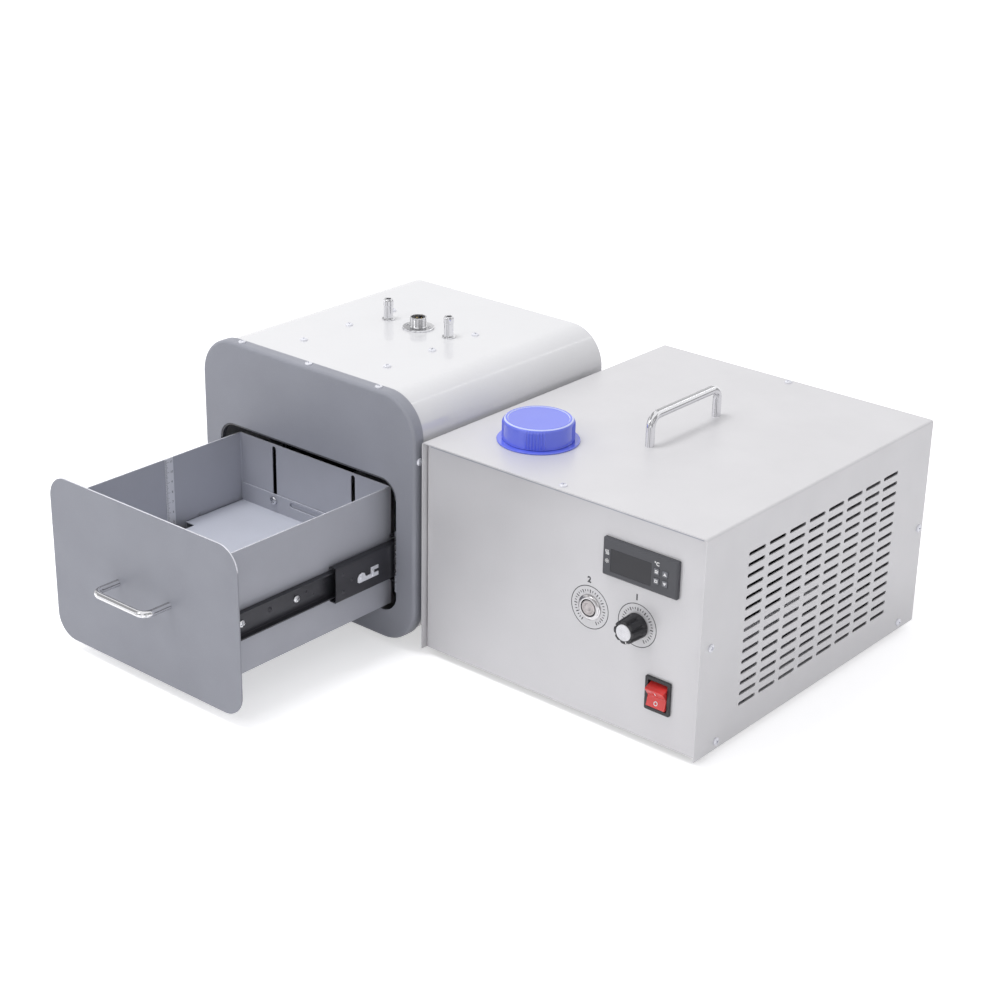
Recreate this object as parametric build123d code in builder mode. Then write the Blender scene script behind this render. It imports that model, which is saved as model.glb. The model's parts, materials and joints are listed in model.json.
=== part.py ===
from build123d import *
import math
import os

# A curing box with a drawer and, to its right, the control unit that powers and cools its lamp.
# Millimetres. X runs to the right along the fronts, Y to the back, Z up. The origin is on the
# bench, at the middle of the space that both units take up with the drawer open as it rests.

os.makedirs("parts", exist_ok=True)

# Sheet metal and clearances
sheet = 1.5
thin_sheet = 1.2
fit = 0.1
running_gap = 0.3

# Sides of the polygons that stand for small or hidden round shapes
screw_sides = 8
rod_sides = 8
bend_steps = 3
round_sides = 12
large_round_sides = 24
screw_head_taper = 20.0
foot_taper = 4.0

# Where the two units stand
unit_gap = 4.0
chamber_ahead = 5.4

# Curing box
chamber_width = 269.0
chamber_height = 238.0
chamber_depth = 266.0
chamber_radius = 38.0
chamber_foot = 5.0
chamber_foot_radius = 11.0
chamber_foot_inset = 52.0
frame_depth = 12.0
frame_edge = 1.2
window_width = 226.0
window_bottom = 33.0
window_top = 162.5
window_radius = 18.0
tab_length = 24.0
tab_height = 12.0

# Lamp under the roof of the curing box
lamp_width = 130.0
lamp_length = 150.0
lamp_setback = 113.0
cold_plate_height = 20.0
lamp_screw_spacing_x = 106.0
lamp_screw_spacing_y = 60.0
lamp_screw_radius = 2.0
lamp_screw_length = 10.0
lamp_screw_head_radius = 3.6
lamp_screw_head_height = 2.0
led_board_width = 110.0
led_board_length = 100.0
led_board_height = 2.0
led_board_shift = -20.0
led_columns = 4
led_rows = 3
led_pitch = 24.0
led_side = 7.0
led_height = 1.2
lamp_frame_height = 14.0
lamp_ledge = 2.5
lamp_wiring_space = 24.0
lamp_wiring_shift = 10.0
lamp_glass_margin = 2.0
lamp_glass_height = 3.0
port_spacing = 77.0
port_setback = 152.0
port_depth = 14.0
wire_passage_radius = 11.0

# Hose barbs and lamp sockets
barb_length = 20.5
barb_radius = 4.3
barb_ridge_radius = 4.8
barb_bore_radius = 2.6
barb_collar_radius = 5.8
barb_collar_height = 2.0
barb_ridge_length = 7.0
barb_ridge_taper = 6.0
barb_thread_radius = 5.0
barb_thread_length = 12.0
socket_flange_radius = 15.0
socket_flange_height = 2.0
socket_radius = 8.0
socket_bore_radius = 6.75
socket_height = 9.3
socket_tail_length = 9.0
socket_recess = 6.0

# Drawer
drawer_out = 194.0
drawer_front_width = 240.0
drawer_front_bottom = 8.5
drawer_front_top = 165.5
drawer_front_radius = 22.0
frame_gap = 0.5
tray_width = 194.0
tray_depth = 205.0
tray_bottom = 36.0
tray_top = 151.0
tray_corner = 1.0
tray_slot_spacing = 102.0
tray_slot_width = 5.0
tray_slot_bottom = 52.0
tray_slot_top = 148.5
handle_spacing = 66.0
handle_reach = 27.0
handle_rod = 6.5
handle_bend = 9.0
handle_screw_radius = 2.0
handle_screw_length = 8.0
handle_screw_head_radius = 3.8
handle_screw_head_height = 2.0
scale_width = 10.0
scale_thickness = 0.5
scale_setback = 80.0

# Height-adjustable platform in the tray
platform_top = 83.0
platform_side_gap = 1.2
platform_front_gap = 2.2
platform_back_gap = 0.3
platform_lip = 18.0
platform_skirt = 9.0
platform_slot_length = 60.0
platform_slot_height = 5.0
platform_notch = 12.0
clamp_height = 11.5
clamp_radius = 2.2
clamp_head_radius = 4.2
clamp_head_height = 2.6
clamp_nut_radius = 4.6
clamp_nut_height = 3.6

# Drawer slides: heights of the three channels, and how far each lies in the slide's thickness
slide_length = 200.0
slide_thickness = 12.7
slide_height_z = 84.0
slide_setback = 6.0
middle_out = 75.0
slide_sheet = 1.2
outer_height = 45.0
middle_height = 34.0
inner_height = 25.0
middle_web_offset = 2.8
outer_lip_from_wall = 2.2
middle_lip_from_wall = 1.6
inner_flange_width = 6.5
outer_lip = 3.3
middle_lip = 2.1
slide_bend = 1.0
retainer_length = 70.0
retainer_sheet = 0.5
retainer_edge = 0.6
ball_clearance = 0.15
outer_retainer_web_offset = 2.0
inner_retainer_web_offset = 5.1
balls_in_row = 3
ball_pitch = 24.0
pocket_clearance = 0.12
ball_sides = 6
ball_taper = 25.0
slide_screw_radius = 2.0
slide_screw_head_radius = 3.6
slide_screw_head_height = 2.2
slide_screw_first = 13.0
slide_screw_pitch = 64.0
slide_screw_count = 3
latch_setback = 26.5
latch_length = 26.0
latch_lobe = 8.0
latch_skew = 0.8
latch_thickness = 1.0
latch_bar = 2.6
latch_rise = 5.0
latch_tab = 6.5

# Runner rails that carry the outer channels
rail_height = 60.0
rail_flange = 18.0

# Control unit
control_width = 300.0
control_height = 200.0
control_depth = 352.0
control_foot = 6.0
control_foot_radius = 8.0
control_foot_inset = 22.0
cover_bend = 2.5
panel_recess = 5.0
panel_flange = 18.0
vent_columns = 8
vent_rows = 15
vent_pitch_y = 30.0
vent_pitch_z = 9.8
vent_length = 24.5
vent_height = 3.4
vent_first_y = 73.7
vent_first_z = 29.3
base_lip = 20.0
carry_spacing = 100.0
carry_setback = 177.0
carry_reach = 27.0
carry_rod = 8.0
carry_bend = 10.0

# Temperature controller
controller_from_right = 64.3
controller_z = 154.7
controller_width = 75.4
controller_height = 33.7
controller_edge = 0.8
bezel_thickness = 4.0
controller_body_width = 70.5
controller_body_height = 28.6
controller_body_depth = 62.0
display_width = 41.0
display_height = 20.2
display_shift_x = -8.7
display_shift_z = -1.8
display_depth = 0.8
key_side = 5.2
key_pitch = 8.4
key_shift_x = 21.5
key_shift_z = -1.4
key_length = 3.0
key_proud = 0.7
key_travel = 0.5
key_clearance = 0.2

# Dials
button_from_right = 115.6
knob_from_right = 66.5
dial_z = 101.3
button_bezel_radius = 11.5
button_bezel_height = 2.4
button_radius = 6.8
button_height = 8.0
button_proud = 0.3
button_travel = 1.5
button_bezel_edge = 1.4
button_clearance = 0.08
button_thread_radius = 8.0
button_thread_length = 22.0
knob_skirt_radius = 11.2
knob_nose_radius = 9.8
knob_length = 18.0
knob_gap = 0.8
knob_flutes = 8
knob_flute_radius = 2.3
knob_skirt_height = 4.0
knob_cap_radius = 7.4
knob_cap_height = 1.2
knob_cap_proud = 0.3
knob_crown = 4.0
knob_cavity_radius = 8.0
knob_cavity_depth = 8.0
shaft_radius = 3.0
shaft_clearance = 0.06
pot_radius = 8.3
pot_depth = 9.0
pot_bush_radius = 4.4
pot_bush_length = 7.0
pot_nut_radius = 6.0
pot_nut_height = 2.2

# Rocker switch
rocker_from_right = 41.5
rocker_z = 45.5
rocker_bezel_width = 25.6
rocker_bezel_height = 31.0
rocker_bezel_thickness = 2.2
rocker_case_width = 22.0
rocker_case_height = 28.0
rocker_case_depth = 20.0
rocker_width = 18.6
rocker_height = 24.0
rocker_wall_gap = 0.3
rocker_tilt = 10.0
rocker_pivot_depth = 6.0
rocker_hollow_depth = 13.0
rocker_proud = 1.6
rocker_dip = 0.4
rocker_trim = 1.6
rocker_back_depth = 1.0
rocker_back_slope = 0.6
rocker_belly = 3.5
rocker_pin_radius = 1.5
rocker_pin_length = 1.2
rocker_pin_clearance = 0.06

# Water tank under its cap
cap_x = 70.0
cap_y = 73.0
neck_radius = 28.9
neck_bore_radius = 25.5
neck_flange_radius = 36.5
neck_flange_height = 1.6
neck_proud = 13.0
cap_radius = 31.3
cap_height = 19.0
cap_wall = 1.9
cap_edge = 3.0
cap_slope = 55.0
cap_rib_count = 7
cap_rib_groups = 4
front_angle = -90.0
cap_rib_angle = 5.0
cap_rib_radius = 0.7
cap_gap = 0.3
liner_height = 2.0
liner_radius = 28.0
tank_width = 110.0
tank_length = 130.0
tank_height = 168.0
tank_wall = 2.5
tank_corner = 8.0
tank_x = 72.0
tank_y = 92.0

# Inside and on the back of the control unit
pump_x = 72.0
pump_y = 205.0
pump_radius = 20.0
pump_length = 56.0
pump_head_radius = 25.0
pump_head_height = 18.0
pump_plate = 4.0
pump_step = 2.0
radiator_x = 110.0
radiator_z = 100.0
radiator_side = 126.0
radiator_depth = 30.0
radiator_tank = 10.0
radiator_fins = 9
radiator_fin_depth = 9.0
radiator_fin_gap = 8.0
fan_side = 120.0
fan_depth = 25.0
fan_bore_radius = 56.0
fan_corner = 6.0
fan_hub_radius = 20.0
fan_blades = 7
fan_tip_gap = 1.0
fan_blade_crown = 2.5
fan_recess = 2.0
fan_blade_pitch = 34.0
fan_blade_thickness = 1.6
fan_blade_width = 24.0
fan_strut_width = 5.0
fan_strut_depth = 4.0
fan_strut_shift = 2.0
fan_pin_radius = 2.0
grille_rows = 9
grille_pitch = 12.0
grille_slot_height = 6.0
grille_radius = 54.0
grille_bridge = 6.0
driver_from_right = 85.0
driver_y = 190.0
driver_width = 90.0
driver_length = 170.0
driver_height = 62.0
driver_fins = 9
driver_fin_height = 14.0
driver_fin_gap = 5.0
gland_from_right = 42.0
gland_z = 35.0
gland_radius = 9.5
gland_bore_radius = 3.9
gland_length = 22.0
gland_flange = 4.0
gland_hex_margin = 1.5
gland_taper = 8.0
gland_tail_radius = 7.5
gland_tail_length = 10.0
back_socket_from_right = 85.0
back_barb_spacing = 40.0
back_ports_z = 165.0

# Worked out from the values above
total_width = chamber_width + unit_gap + control_width
chamber_x = -total_width / 2 + chamber_width / 2
control_left = total_width / 2 - control_width
control_x = control_left + control_width / 2
reach_front = chamber_ahead + drawer_out + frame_gap + sheet + handle_reach + handle_rod / 2
reach_back = control_depth - panel_recess + gland_length
control_front = (reach_front - reach_back) / 2
chamber_front = control_front - chamber_ahead
chamber_bottom = chamber_foot
chamber_top = chamber_bottom + chamber_height
chamber_middle_z = chamber_bottom + chamber_height / 2
control_bottom = control_foot
control_top = control_bottom + control_height
control_back = control_front + control_depth

shell_width = chamber_width - 2 * (sheet + fit)
shell_height = chamber_height - 2 * (sheet + fit)
shell_radius = chamber_radius - sheet - fit
shell_front = chamber_front + sheet
shell_back = chamber_front + chamber_depth - sheet
shell_top = chamber_top - sheet - fit
shell_bottom = chamber_bottom + sheet + fit
roof = shell_top - sheet

panel_face = control_front + panel_recess
back_face = control_back - panel_recess
floor_top = control_bottom + thin_sheet
controller_x = control_width - controller_from_right
button_x = control_width - button_from_right
knob_x = control_width - knob_from_right
rocker_x = control_width - rocker_from_right
gland_x = control_width - gland_from_right
back_socket_x = control_width - back_socket_from_right
driver_x = control_width - driver_from_right


def facing_front(x, y, z):
    """A plane parallel to the fronts. Its own x runs right and its own y runs up."""
    return Plane(origin=(x, y, z), x_dir=(1, 0, 0), z_dir=(0, -1, 0))


def facing_right(x, y, z):
    """A plane parallel to the right sides. Its own x runs back and its own y runs up."""
    return Plane(origin=(x, y, z), x_dir=(0, 1, 0), z_dir=(1, 0, 0))


def save(builder, name):
    """Label one finished piece and write its file."""
    builder.part.label = name
    export_step(builder.part, f"parts/{name}.step")


# Curing box: front frame, a pan whose rim laps over the shell, with the drawer window
with BuildPart() as chamber_front_frame:
    with BuildSketch(facing_front(chamber_x, chamber_front, chamber_middle_z)):
        RectangleRounded(chamber_width, chamber_height, chamber_radius)
    extrude(amount=-frame_depth)
    chamfer(chamber_front_frame.faces().sort_by(Axis.Y)[0].edges(), length=frame_edge)
    with BuildSketch(facing_front(chamber_x, shell_front, chamber_middle_z)):
        RectangleRounded(chamber_width - 2 * sheet, chamber_height - 2 * sheet, chamber_radius - sheet)
    extrude(amount=-frame_depth, mode=Mode.SUBTRACT)
    with BuildSketch(facing_front(chamber_x, chamber_front, (window_bottom + window_top) / 2)):
        RectangleRounded(window_width, window_top - window_bottom, window_radius)
    extrude(amount=-sheet, mode=Mode.SUBTRACT)
save(chamber_front_frame, "chamber_front_frame")

# Curing box: wrapped shell, one sheet bent round all four sides, drilled for the lamp
lamp_y = chamber_front + lamp_setback
port_y = chamber_front + port_setback
with BuildPart() as chamber_shell:
    with BuildSketch(facing_front(chamber_x, shell_front, chamber_middle_z)):
        RectangleRounded(shell_width, shell_height, shell_radius)
        RectangleRounded(
            shell_width - 2 * sheet, shell_height - 2 * sheet, shell_radius - sheet, mode=Mode.SUBTRACT
        )
    extrude(amount=shell_front - shell_back)
    with BuildSketch(facing_front(chamber_x, shell_back, chamber_middle_z)):
        with GridLocations(shell_width / 2, shell_height - 2 * sheet - tab_height, 2, 2):
            Rectangle(tab_length, tab_height)
    extrude(amount=sheet)
    with BuildSketch(Plane((chamber_x, lamp_y, shell_top))):
        with GridLocations(lamp_screw_spacing_x, lamp_screw_spacing_y, 2, 3):
            RegularPolygon(lamp_screw_radius + fit, screw_sides)
    extrude(amount=-sheet, mode=Mode.SUBTRACT)
    with BuildSketch(Plane((chamber_x, port_y, shell_top))):
        with GridLocations(port_spacing, 1, 2, 1):
            RegularPolygon(barb_thread_radius + fit, rod_sides)
        RegularPolygon(socket_radius + fit, round_sides)
    extrude(amount=-sheet, mode=Mode.SUBTRACT)
save(chamber_shell, "chamber_shell")

with BuildPart() as chamber_back_panel:
    with BuildSketch(facing_front(chamber_x, shell_back, chamber_middle_z)):
        RectangleRounded(shell_width, shell_height, shell_radius)
    extrude(amount=-sheet)
save(chamber_back_panel, "chamber_back_panel")

with BuildPart() as chamber_feet:
    with BuildSketch(Plane((chamber_x, chamber_front + chamber_depth / 2, 0))):
        with GridLocations(
            chamber_width - 2 * chamber_foot_inset, chamber_depth - 2 * chamber_foot_inset, 2, 2
        ):
            RegularPolygon(chamber_foot_radius, round_sides)
    extrude(amount=shell_bottom, taper=foot_taper)
save(chamber_feet, "chamber_feet")

# Lamp: water-cooled plate under the roof, with tapped holes, two water ports and a wire passage
with BuildPart() as lamp_cold_plate:
    with BuildSketch(Plane((chamber_x, lamp_y, roof))):
        Rectangle(lamp_width, lamp_length)
    extrude(amount=-cold_plate_height)
    with BuildSketch(Plane((chamber_x, lamp_y, roof))):
        with GridLocations(lamp_screw_spacing_x, lamp_screw_spacing_y, 2, 3):
            RegularPolygon(lamp_screw_radius + fit, screw_sides)
    extrude(amount=-lamp_screw_length, mode=Mode.SUBTRACT)
    with BuildSketch(Plane((chamber_x, port_y, roof))):
        with GridLocations(port_spacing, 1, 2, 1):
            RegularPolygon(barb_thread_radius + fit, rod_sides)
    extrude(amount=-port_depth, mode=Mode.SUBTRACT)
    with BuildSketch(Plane((chamber_x, port_y, roof))):
        RegularPolygon(wire_passage_radius, round_sides)
    extrude(amount=-cold_plate_height, mode=Mode.SUBTRACT)
save(lamp_cold_plate, "lamp_cold_plate")

led_plane_z = roof - cold_plate_height
led_y = lamp_y + led_board_shift
with BuildPart() as led_board:
    with BuildSketch(Plane((chamber_x, led_y, led_plane_z))):
        Rectangle(led_board_width, led_board_length)
    extrude(amount=-led_board_height)
    with BuildSketch(Plane((chamber_x, led_y, led_plane_z - led_board_height))):
        with GridLocations(led_pitch, led_pitch, led_columns, led_rows):
            Rectangle(led_side, led_side)
    extrude(amount=-led_height)
save(led_board, "led_board")

# Lamp: window frame round the LED board, with a ledge that the glass lies on
frame_opening_length = led_board_length + lamp_wiring_space
frame_opening_y = led_y + lamp_wiring_shift
window_ledge = 2 * 2 * lamp_glass_margin
with BuildPart() as lamp_window_frame:
    with BuildSketch(Plane((chamber_x, lamp_y, led_plane_z))):
        Rectangle(lamp_width, lamp_length)
    extrude(amount=-lamp_frame_height)
    with BuildSketch(Plane((chamber_x, frame_opening_y, led_plane_z))):
        Rectangle(led_board_width + 2 * lamp_glass_margin, frame_opening_length)
    extrude(amount=lamp_ledge - lamp_frame_height, mode=Mode.SUBTRACT)
    with BuildSketch(Plane((chamber_x, led_y, led_plane_z))):
        Rectangle(led_board_width - window_ledge, led_board_length - window_ledge)
    extrude(amount=-lamp_frame_height, mode=Mode.SUBTRACT)
save(lamp_window_frame, "lamp_window_frame")

with BuildPart() as lamp_window:
    with BuildSketch(Plane((chamber_x, led_y, led_plane_z - lamp_frame_height + lamp_ledge))):
        Rectangle(led_board_width + lamp_glass_margin, led_board_length + lamp_glass_margin)
    extrude(amount=lamp_glass_height)
save(lamp_window, "lamp_window")


def pan_screws(planes, head_radius, head_height, shank_radius, shank_length):
    """Equal pan-head screws, each with its seat on its own plane."""
    with BuildPart() as screw:
        with BuildSketch(Plane.XY):
            RegularPolygon(head_radius, screw_sides)
        extrude(amount=head_height, taper=screw_head_taper)
        with BuildSketch(Plane.XY):
            RegularPolygon(shank_radius, screw_sides)
        extrude(amount=-shank_length)
    return [plane.location * screw.part for plane in planes]


lamp_screw_planes = [
    Plane((chamber_x + i * lamp_screw_spacing_x / 2, lamp_y + j * lamp_screw_spacing_y, shell_top))
    for i in (-1, 1)
    for j in (-1, 0, 1)
]
with BuildPart() as lamp_screws:
    add(
        pan_screws(
            lamp_screw_planes,
            lamp_screw_head_radius,
            lamp_screw_head_height,
            lamp_screw_radius,
            lamp_screw_length,
        )
    )
save(lamp_screws, "lamp_screws")


def facing_back(x, z):
    """A plane on the outside of the control unit's back panel, looking backwards."""
    return Plane(origin=(x, back_face, z), x_dir=(-1, 0, 0), z_dir=(0, 1, 0))


back_socket = facing_back(control_left + back_socket_x, back_ports_z)
back_barbs = [
    facing_back(control_left + back_socket_x + i * back_barb_spacing, back_ports_z) for i in (-1, 1)
]
top_barbs = [Plane((chamber_x + i * port_spacing / 2, port_y, shell_top)) for i in (-1, 1)]
top_socket = Plane((chamber_x, port_y, shell_top))

# Hose barbs: thread below the seat, collar, tube with a ridge near its end, bore
with BuildPart() as hose_barb:
    with BuildSketch(Plane.XY):
        RegularPolygon(barb_thread_radius, rod_sides)
    extrude(amount=-barb_thread_length)
    with BuildSketch(Plane.XY):
        RegularPolygon(barb_collar_radius, rod_sides)
    extrude(amount=barb_collar_height)
    with BuildSketch(Plane.XY):
        RegularPolygon(barb_radius, rod_sides)
    extrude(amount=barb_length - barb_ridge_length)
    with BuildSketch(Plane.XY.offset(barb_length - barb_ridge_length)):
        RegularPolygon(barb_ridge_radius, rod_sides)
    extrude(amount=barb_ridge_length, taper=barb_ridge_taper)
    with BuildSketch(Plane.XY.offset(barb_length)):
        RegularPolygon(barb_bore_radius, screw_sides)
    extrude(amount=-barb_length - barb_thread_length, mode=Mode.SUBTRACT)
with BuildPart() as water_barbs:
    add([plane.location * hose_barb.part for plane in top_barbs + back_barbs])
save(water_barbs, "water_barbs")

# Round panel sockets: tail, flange, threaded barrel, recess that takes the plug
socket_top = socket_flange_height + socket_height
with BuildPart() as panel_socket:
    with BuildSketch(Plane.XY):
        RegularPolygon(socket_radius, round_sides)
    extrude(amount=-socket_tail_length)
    with BuildSketch(Plane.XY):
        RegularPolygon(socket_flange_radius, large_round_sides)
    extrude(amount=socket_flange_height)
    with BuildSketch(Plane.XY):
        RegularPolygon(socket_radius, large_round_sides)
    extrude(amount=socket_top)
    with BuildSketch(Plane.XY.offset(socket_top)):
        Circle(socket_bore_radius)
    extrude(amount=-socket_recess, mode=Mode.SUBTRACT)
with BuildPart() as lamp_sockets:
    add([plane.location * panel_socket.part for plane in (top_socket, back_socket)])
save(lamp_sockets, "lamp_sockets")

middle_plane = Plane.YZ.offset(chamber_x)
wall_half = tray_width / 2
rail_half = wall_half + slide_thickness
wall_x = chamber_x + wall_half


def mirrored(builder, name):
    """The left-hand copy of a finished right-hand piece."""
    with BuildPart() as left_piece:
        add(mirror(builder.part, about=middle_plane))
    save(left_piece, name)


# Runner rails: bent at both ends, from the front frame to the back panel
rail_length = shell_back - shell_front
with BuildPart() as runner_rail_right:
    with BuildSketch(Plane((chamber_x + rail_half, shell_front, slide_height_z - rail_height / 2))):
        with BuildLine():
            Polyline((rail_flange, 0), (0, 0), (0, rail_length), (rail_flange, rail_length))
            offset(amount=thin_sheet, side=Side.RIGHT, kind=Kind.INTERSECTION)
        make_face()
    extrude(amount=rail_height)
save(runner_rail_right, "runner_rail_right")
mirrored(runner_rail_right, "runner_rail_left")


def channel(start_y, length, outline, thickness):
    """A bent channel along Y on the right-hand slide. outline runs along its outer face."""
    with BuildPart() as piece:
        with BuildSketch(facing_front(wall_x, start_y, slide_height_z)):
            with BuildLine():
                Polyline(*outline)
                offset(amount=thickness, side=Side.RIGHT, kind=Kind.INTERSECTION)
            make_face()
        extrude(amount=-length)
    return piece.part


def c_outline(web, tip, half_height, lip, bend):
    """Outer face of a C section, from its upper tip round to its lower tip, with cut bends."""
    way = 1 if web > tip else -1
    upper = [(web - way * bend, half_height), (web, half_height - bend)]
    if lip:
        turned_in = [(tip, half_height - lip), (tip, half_height - bend), (tip + way * bend, half_height)]
        upper = turned_in + upper
    else:
        upper = [(tip, half_height)] + upper
    return upper + [(across, -up) for across, up in reversed(upper)]


outer_start = chamber_front + slide_setback
middle_start = outer_start - middle_out - 1
inner_start = outer_start - drawer_out + 1
outer_ball_radius = (outer_height / 2 - slide_sheet - middle_height / 2) / 2 - ball_clearance
inner_ball_radius = (middle_height / 2 - slide_sheet - inner_height / 2) / 2 - ball_clearance
outer_row = middle_height / 2 + ball_clearance + outer_ball_radius
inner_row = inner_height / 2 + ball_clearance + inner_ball_radius
middle_web = slide_thickness - middle_web_offset
outer_ball_offset = (outer_lip_from_wall + slide_thickness) / 2
inner_ball_offset = inner_flange_width - inner_ball_radius
screw_rows = [inner_start + slide_screw_first + i * slide_screw_pitch for i in range(slide_screw_count)]

# Drawer slides: outer channel on the rail, middle channel that both rows of balls carry
with BuildPart() as slide_outer_right:
    add(
        channel(
            outer_start,
            slide_length,
            c_outline(slide_thickness, outer_lip_from_wall, outer_height / 2, outer_lip, slide_bend),
            slide_sheet,
        )
    )
save(slide_outer_right, "slide_outer_right")
mirrored(slide_outer_right, "slide_outer_left")

with BuildPart() as slide_middle_right:
    add(
        channel(
            middle_start,
            slide_length,
            c_outline(middle_web, middle_lip_from_wall, middle_height / 2, middle_lip, slide_bend),
            slide_sheet,
        )
    )
save(slide_middle_right, "slide_middle_right")
mirrored(slide_middle_right, "slide_middle_left")

# Drawer slides: inner channel, web against the tray, drilled for its screws
with BuildPart() as slide_inner_right:
    with BuildSketch(facing_front(wall_x, inner_start, slide_height_z)):
        with BuildLine():
            Polyline(*c_outline(0, inner_flange_width, inner_height / 2, 0, slide_bend))
            offset(amount=slide_sheet, side=Side.LEFT, kind=Kind.INTERSECTION)
        make_face()
    extrude(amount=-slide_length)
    with BuildSketch(facing_right(wall_x, 0, slide_height_z)):
        with Locations(*[(y, 0) for y in screw_rows]):
            RegularPolygon(slide_screw_radius + fit, screw_sides)
    extrude(amount=slide_sheet, mode=Mode.SUBTRACT)
save(slide_inner_right, "slide_inner_right")
mirrored(slide_inner_right, "slide_inner_left")


def ball_at(x, y, z, radius):
    """One steel ball, faceted to keep the model light."""
    with BuildPart() as ball:
        with BuildSketch(Plane((x, y, z))):
            RegularPolygon(radius=radius, side_count=ball_sides)
        extrude(amount=radius, taper=ball_taper)
        mirror(about=Plane((x, y, z)))
    return ball.part


def retainer(centre_y, web, tip, ball_offset, row, radius):
    """A pressed ball cage on the right-hand slide and the balls in its pockets."""
    edge = row + retainer_sheet / 2
    outline = [(tip, edge), (web, edge), (web, -edge), (tip, -edge)]
    pocket = 2 * (radius + pocket_clearance)
    ball_rows = [centre_y + (i - (balls_in_row - 1) / 2) * ball_pitch for i in range(balls_in_row)]
    ball_x = wall_x + ball_offset
    with BuildPart() as cage:
        add(channel(centre_y - retainer_length / 2, retainer_length, outline, retainer_sheet))
        with BuildSketch(Plane((ball_x, 0, slide_height_z - 2 * row))):
            with Locations(*[(0, y) for y in ball_rows]):
                Rectangle(pocket, pocket)
        extrude(amount=4 * row, mode=Mode.SUBTRACT)
    balls = [
        ball_at(ball_x, y, slide_height_z + up * row, radius) for y in ball_rows for up in (-1, 1)
    ]
    return [cage.part, *balls]


outer_retainer_y = (outer_start + middle_start + slide_length) / 2
inner_retainer_y = (middle_start + inner_start + slide_length) / 2
outer_cages = retainer(
    outer_retainer_y,
    slide_thickness - outer_retainer_web_offset,
    outer_ball_offset - outer_ball_radius - retainer_edge,
    outer_ball_offset,
    outer_row,
    outer_ball_radius,
)
with BuildPart() as ball_retainers_outer:
    add(outer_cages)
    add([mirror(piece, about=middle_plane) for piece in outer_cages])
save(ball_retainers_outer, "ball_retainers_outer")

inner_cages = retainer(
    inner_retainer_y,
    slide_thickness - inner_retainer_web_offset,
    inner_ball_offset - inner_ball_radius - retainer_edge,
    inner_ball_offset,
    inner_row,
    inner_ball_radius,
)
with BuildPart() as ball_retainers_inner:
    add(inner_cages)
    add([mirror(piece, about=middle_plane) for piece in inner_cages])
save(ball_retainers_inner, "ball_retainers_inner")

# Latch levers on the outside of the middle channels
latch_end = middle_start + latch_setback + latch_length
latch_low = slide_height_z - latch_tab
latch_top = latch_bar + latch_rise
with BuildPart() as slide_latches:
    for side in (-1, 1):
        latch_x = chamber_x + side * (wall_half + slide_thickness - middle_web_offset)
        with BuildSketch(facing_right(latch_x, latch_end, latch_low)):
            with BuildLine():
                Polyline(
                    (-latch_length, 0),
                    (0, latch_skew),
                    (0, latch_bar + latch_skew),
                    (-latch_tab, latch_bar + latch_skew),
                    (-latch_tab, latch_top),
                    (0, latch_top),
                    (0, latch_top + latch_bar),
                    (-latch_tab - latch_bar, latch_top + latch_bar),
                    (-latch_tab - latch_bar, latch_bar + latch_skew),
                    (latch_lobe - latch_length, latch_bar),
                    (latch_lobe - latch_length, latch_top),
                    (-latch_length, latch_top - latch_bar),
                    close=True,
                )
            make_face()
        extrude(amount=side * latch_thickness)
save(slide_latches, "slide_latches")

# Drawer: tray of bent sheet, with two clamp slots in its back wall
front_rear = chamber_front - frame_gap - drawer_out
drawer_front_height = drawer_front_top - drawer_front_bottom
drawer_front_y = front_rear - sheet
tray_start = front_rear
tray_end = tray_start + tray_depth
tray_height = tray_top - tray_bottom
tray_slot_middle = (tray_slot_bottom + tray_slot_top) / 2
handle_z = (drawer_front_bottom + drawer_front_top) / 2
with BuildPart() as drawer_tray:
    with BuildSketch(Plane((chamber_x, tray_start + tray_depth / 2, tray_bottom))):
        Rectangle(tray_width, tray_depth)
    extrude(amount=tray_height)
    chamfer(drawer_tray.edges().filter_by(Axis.Z).group_by(Axis.Y)[-1], length=tray_corner)
    with BuildSketch(Plane((chamber_x, tray_start + tray_depth / 2, tray_bottom + thin_sheet))):
        Rectangle(tray_width - 2 * thin_sheet, tray_depth - 2 * thin_sheet)
    extrude(amount=tray_height, mode=Mode.SUBTRACT)
    with BuildSketch(facing_front(chamber_x, tray_end, tray_slot_middle)) as clamp_slots:
        with GridLocations(tray_slot_spacing, 1, 2, 1):
            Rectangle(tray_slot_width, tray_slot_top - tray_slot_bottom)
        chamfer(clamp_slots.vertices(), length=tray_slot_width / 3)
    extrude(amount=thin_sheet, mode=Mode.SUBTRACT)
    with BuildSketch(facing_front(chamber_x, tray_start + thin_sheet, handle_z)):
        with GridLocations(handle_spacing, 1, 2, 1):
            RegularPolygon(handle_screw_head_radius + running_gap, screw_sides)
    extrude(amount=thin_sheet, mode=Mode.SUBTRACT)
    with BuildSketch(facing_right(chamber_x - wall_half, 0, slide_height_z)):
        with Locations(*[(y, 0) for y in screw_rows]):
            RegularPolygon(slide_screw_radius + fit, screw_sides)
    extrude(amount=tray_width, mode=Mode.SUBTRACT)
save(drawer_tray, "drawer_tray")

with BuildPart() as drawer_front:
    with BuildSketch(facing_front(chamber_x, drawer_front_y, handle_z)):
        RectangleRounded(drawer_front_width, drawer_front_height, drawer_front_radius)
        with GridLocations(handle_spacing, 1, 2, 1):
            RegularPolygon(handle_screw_radius + fit, screw_sides, mode=Mode.SUBTRACT)
    extrude(amount=-sheet)
save(drawer_front, "drawer_front")


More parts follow.
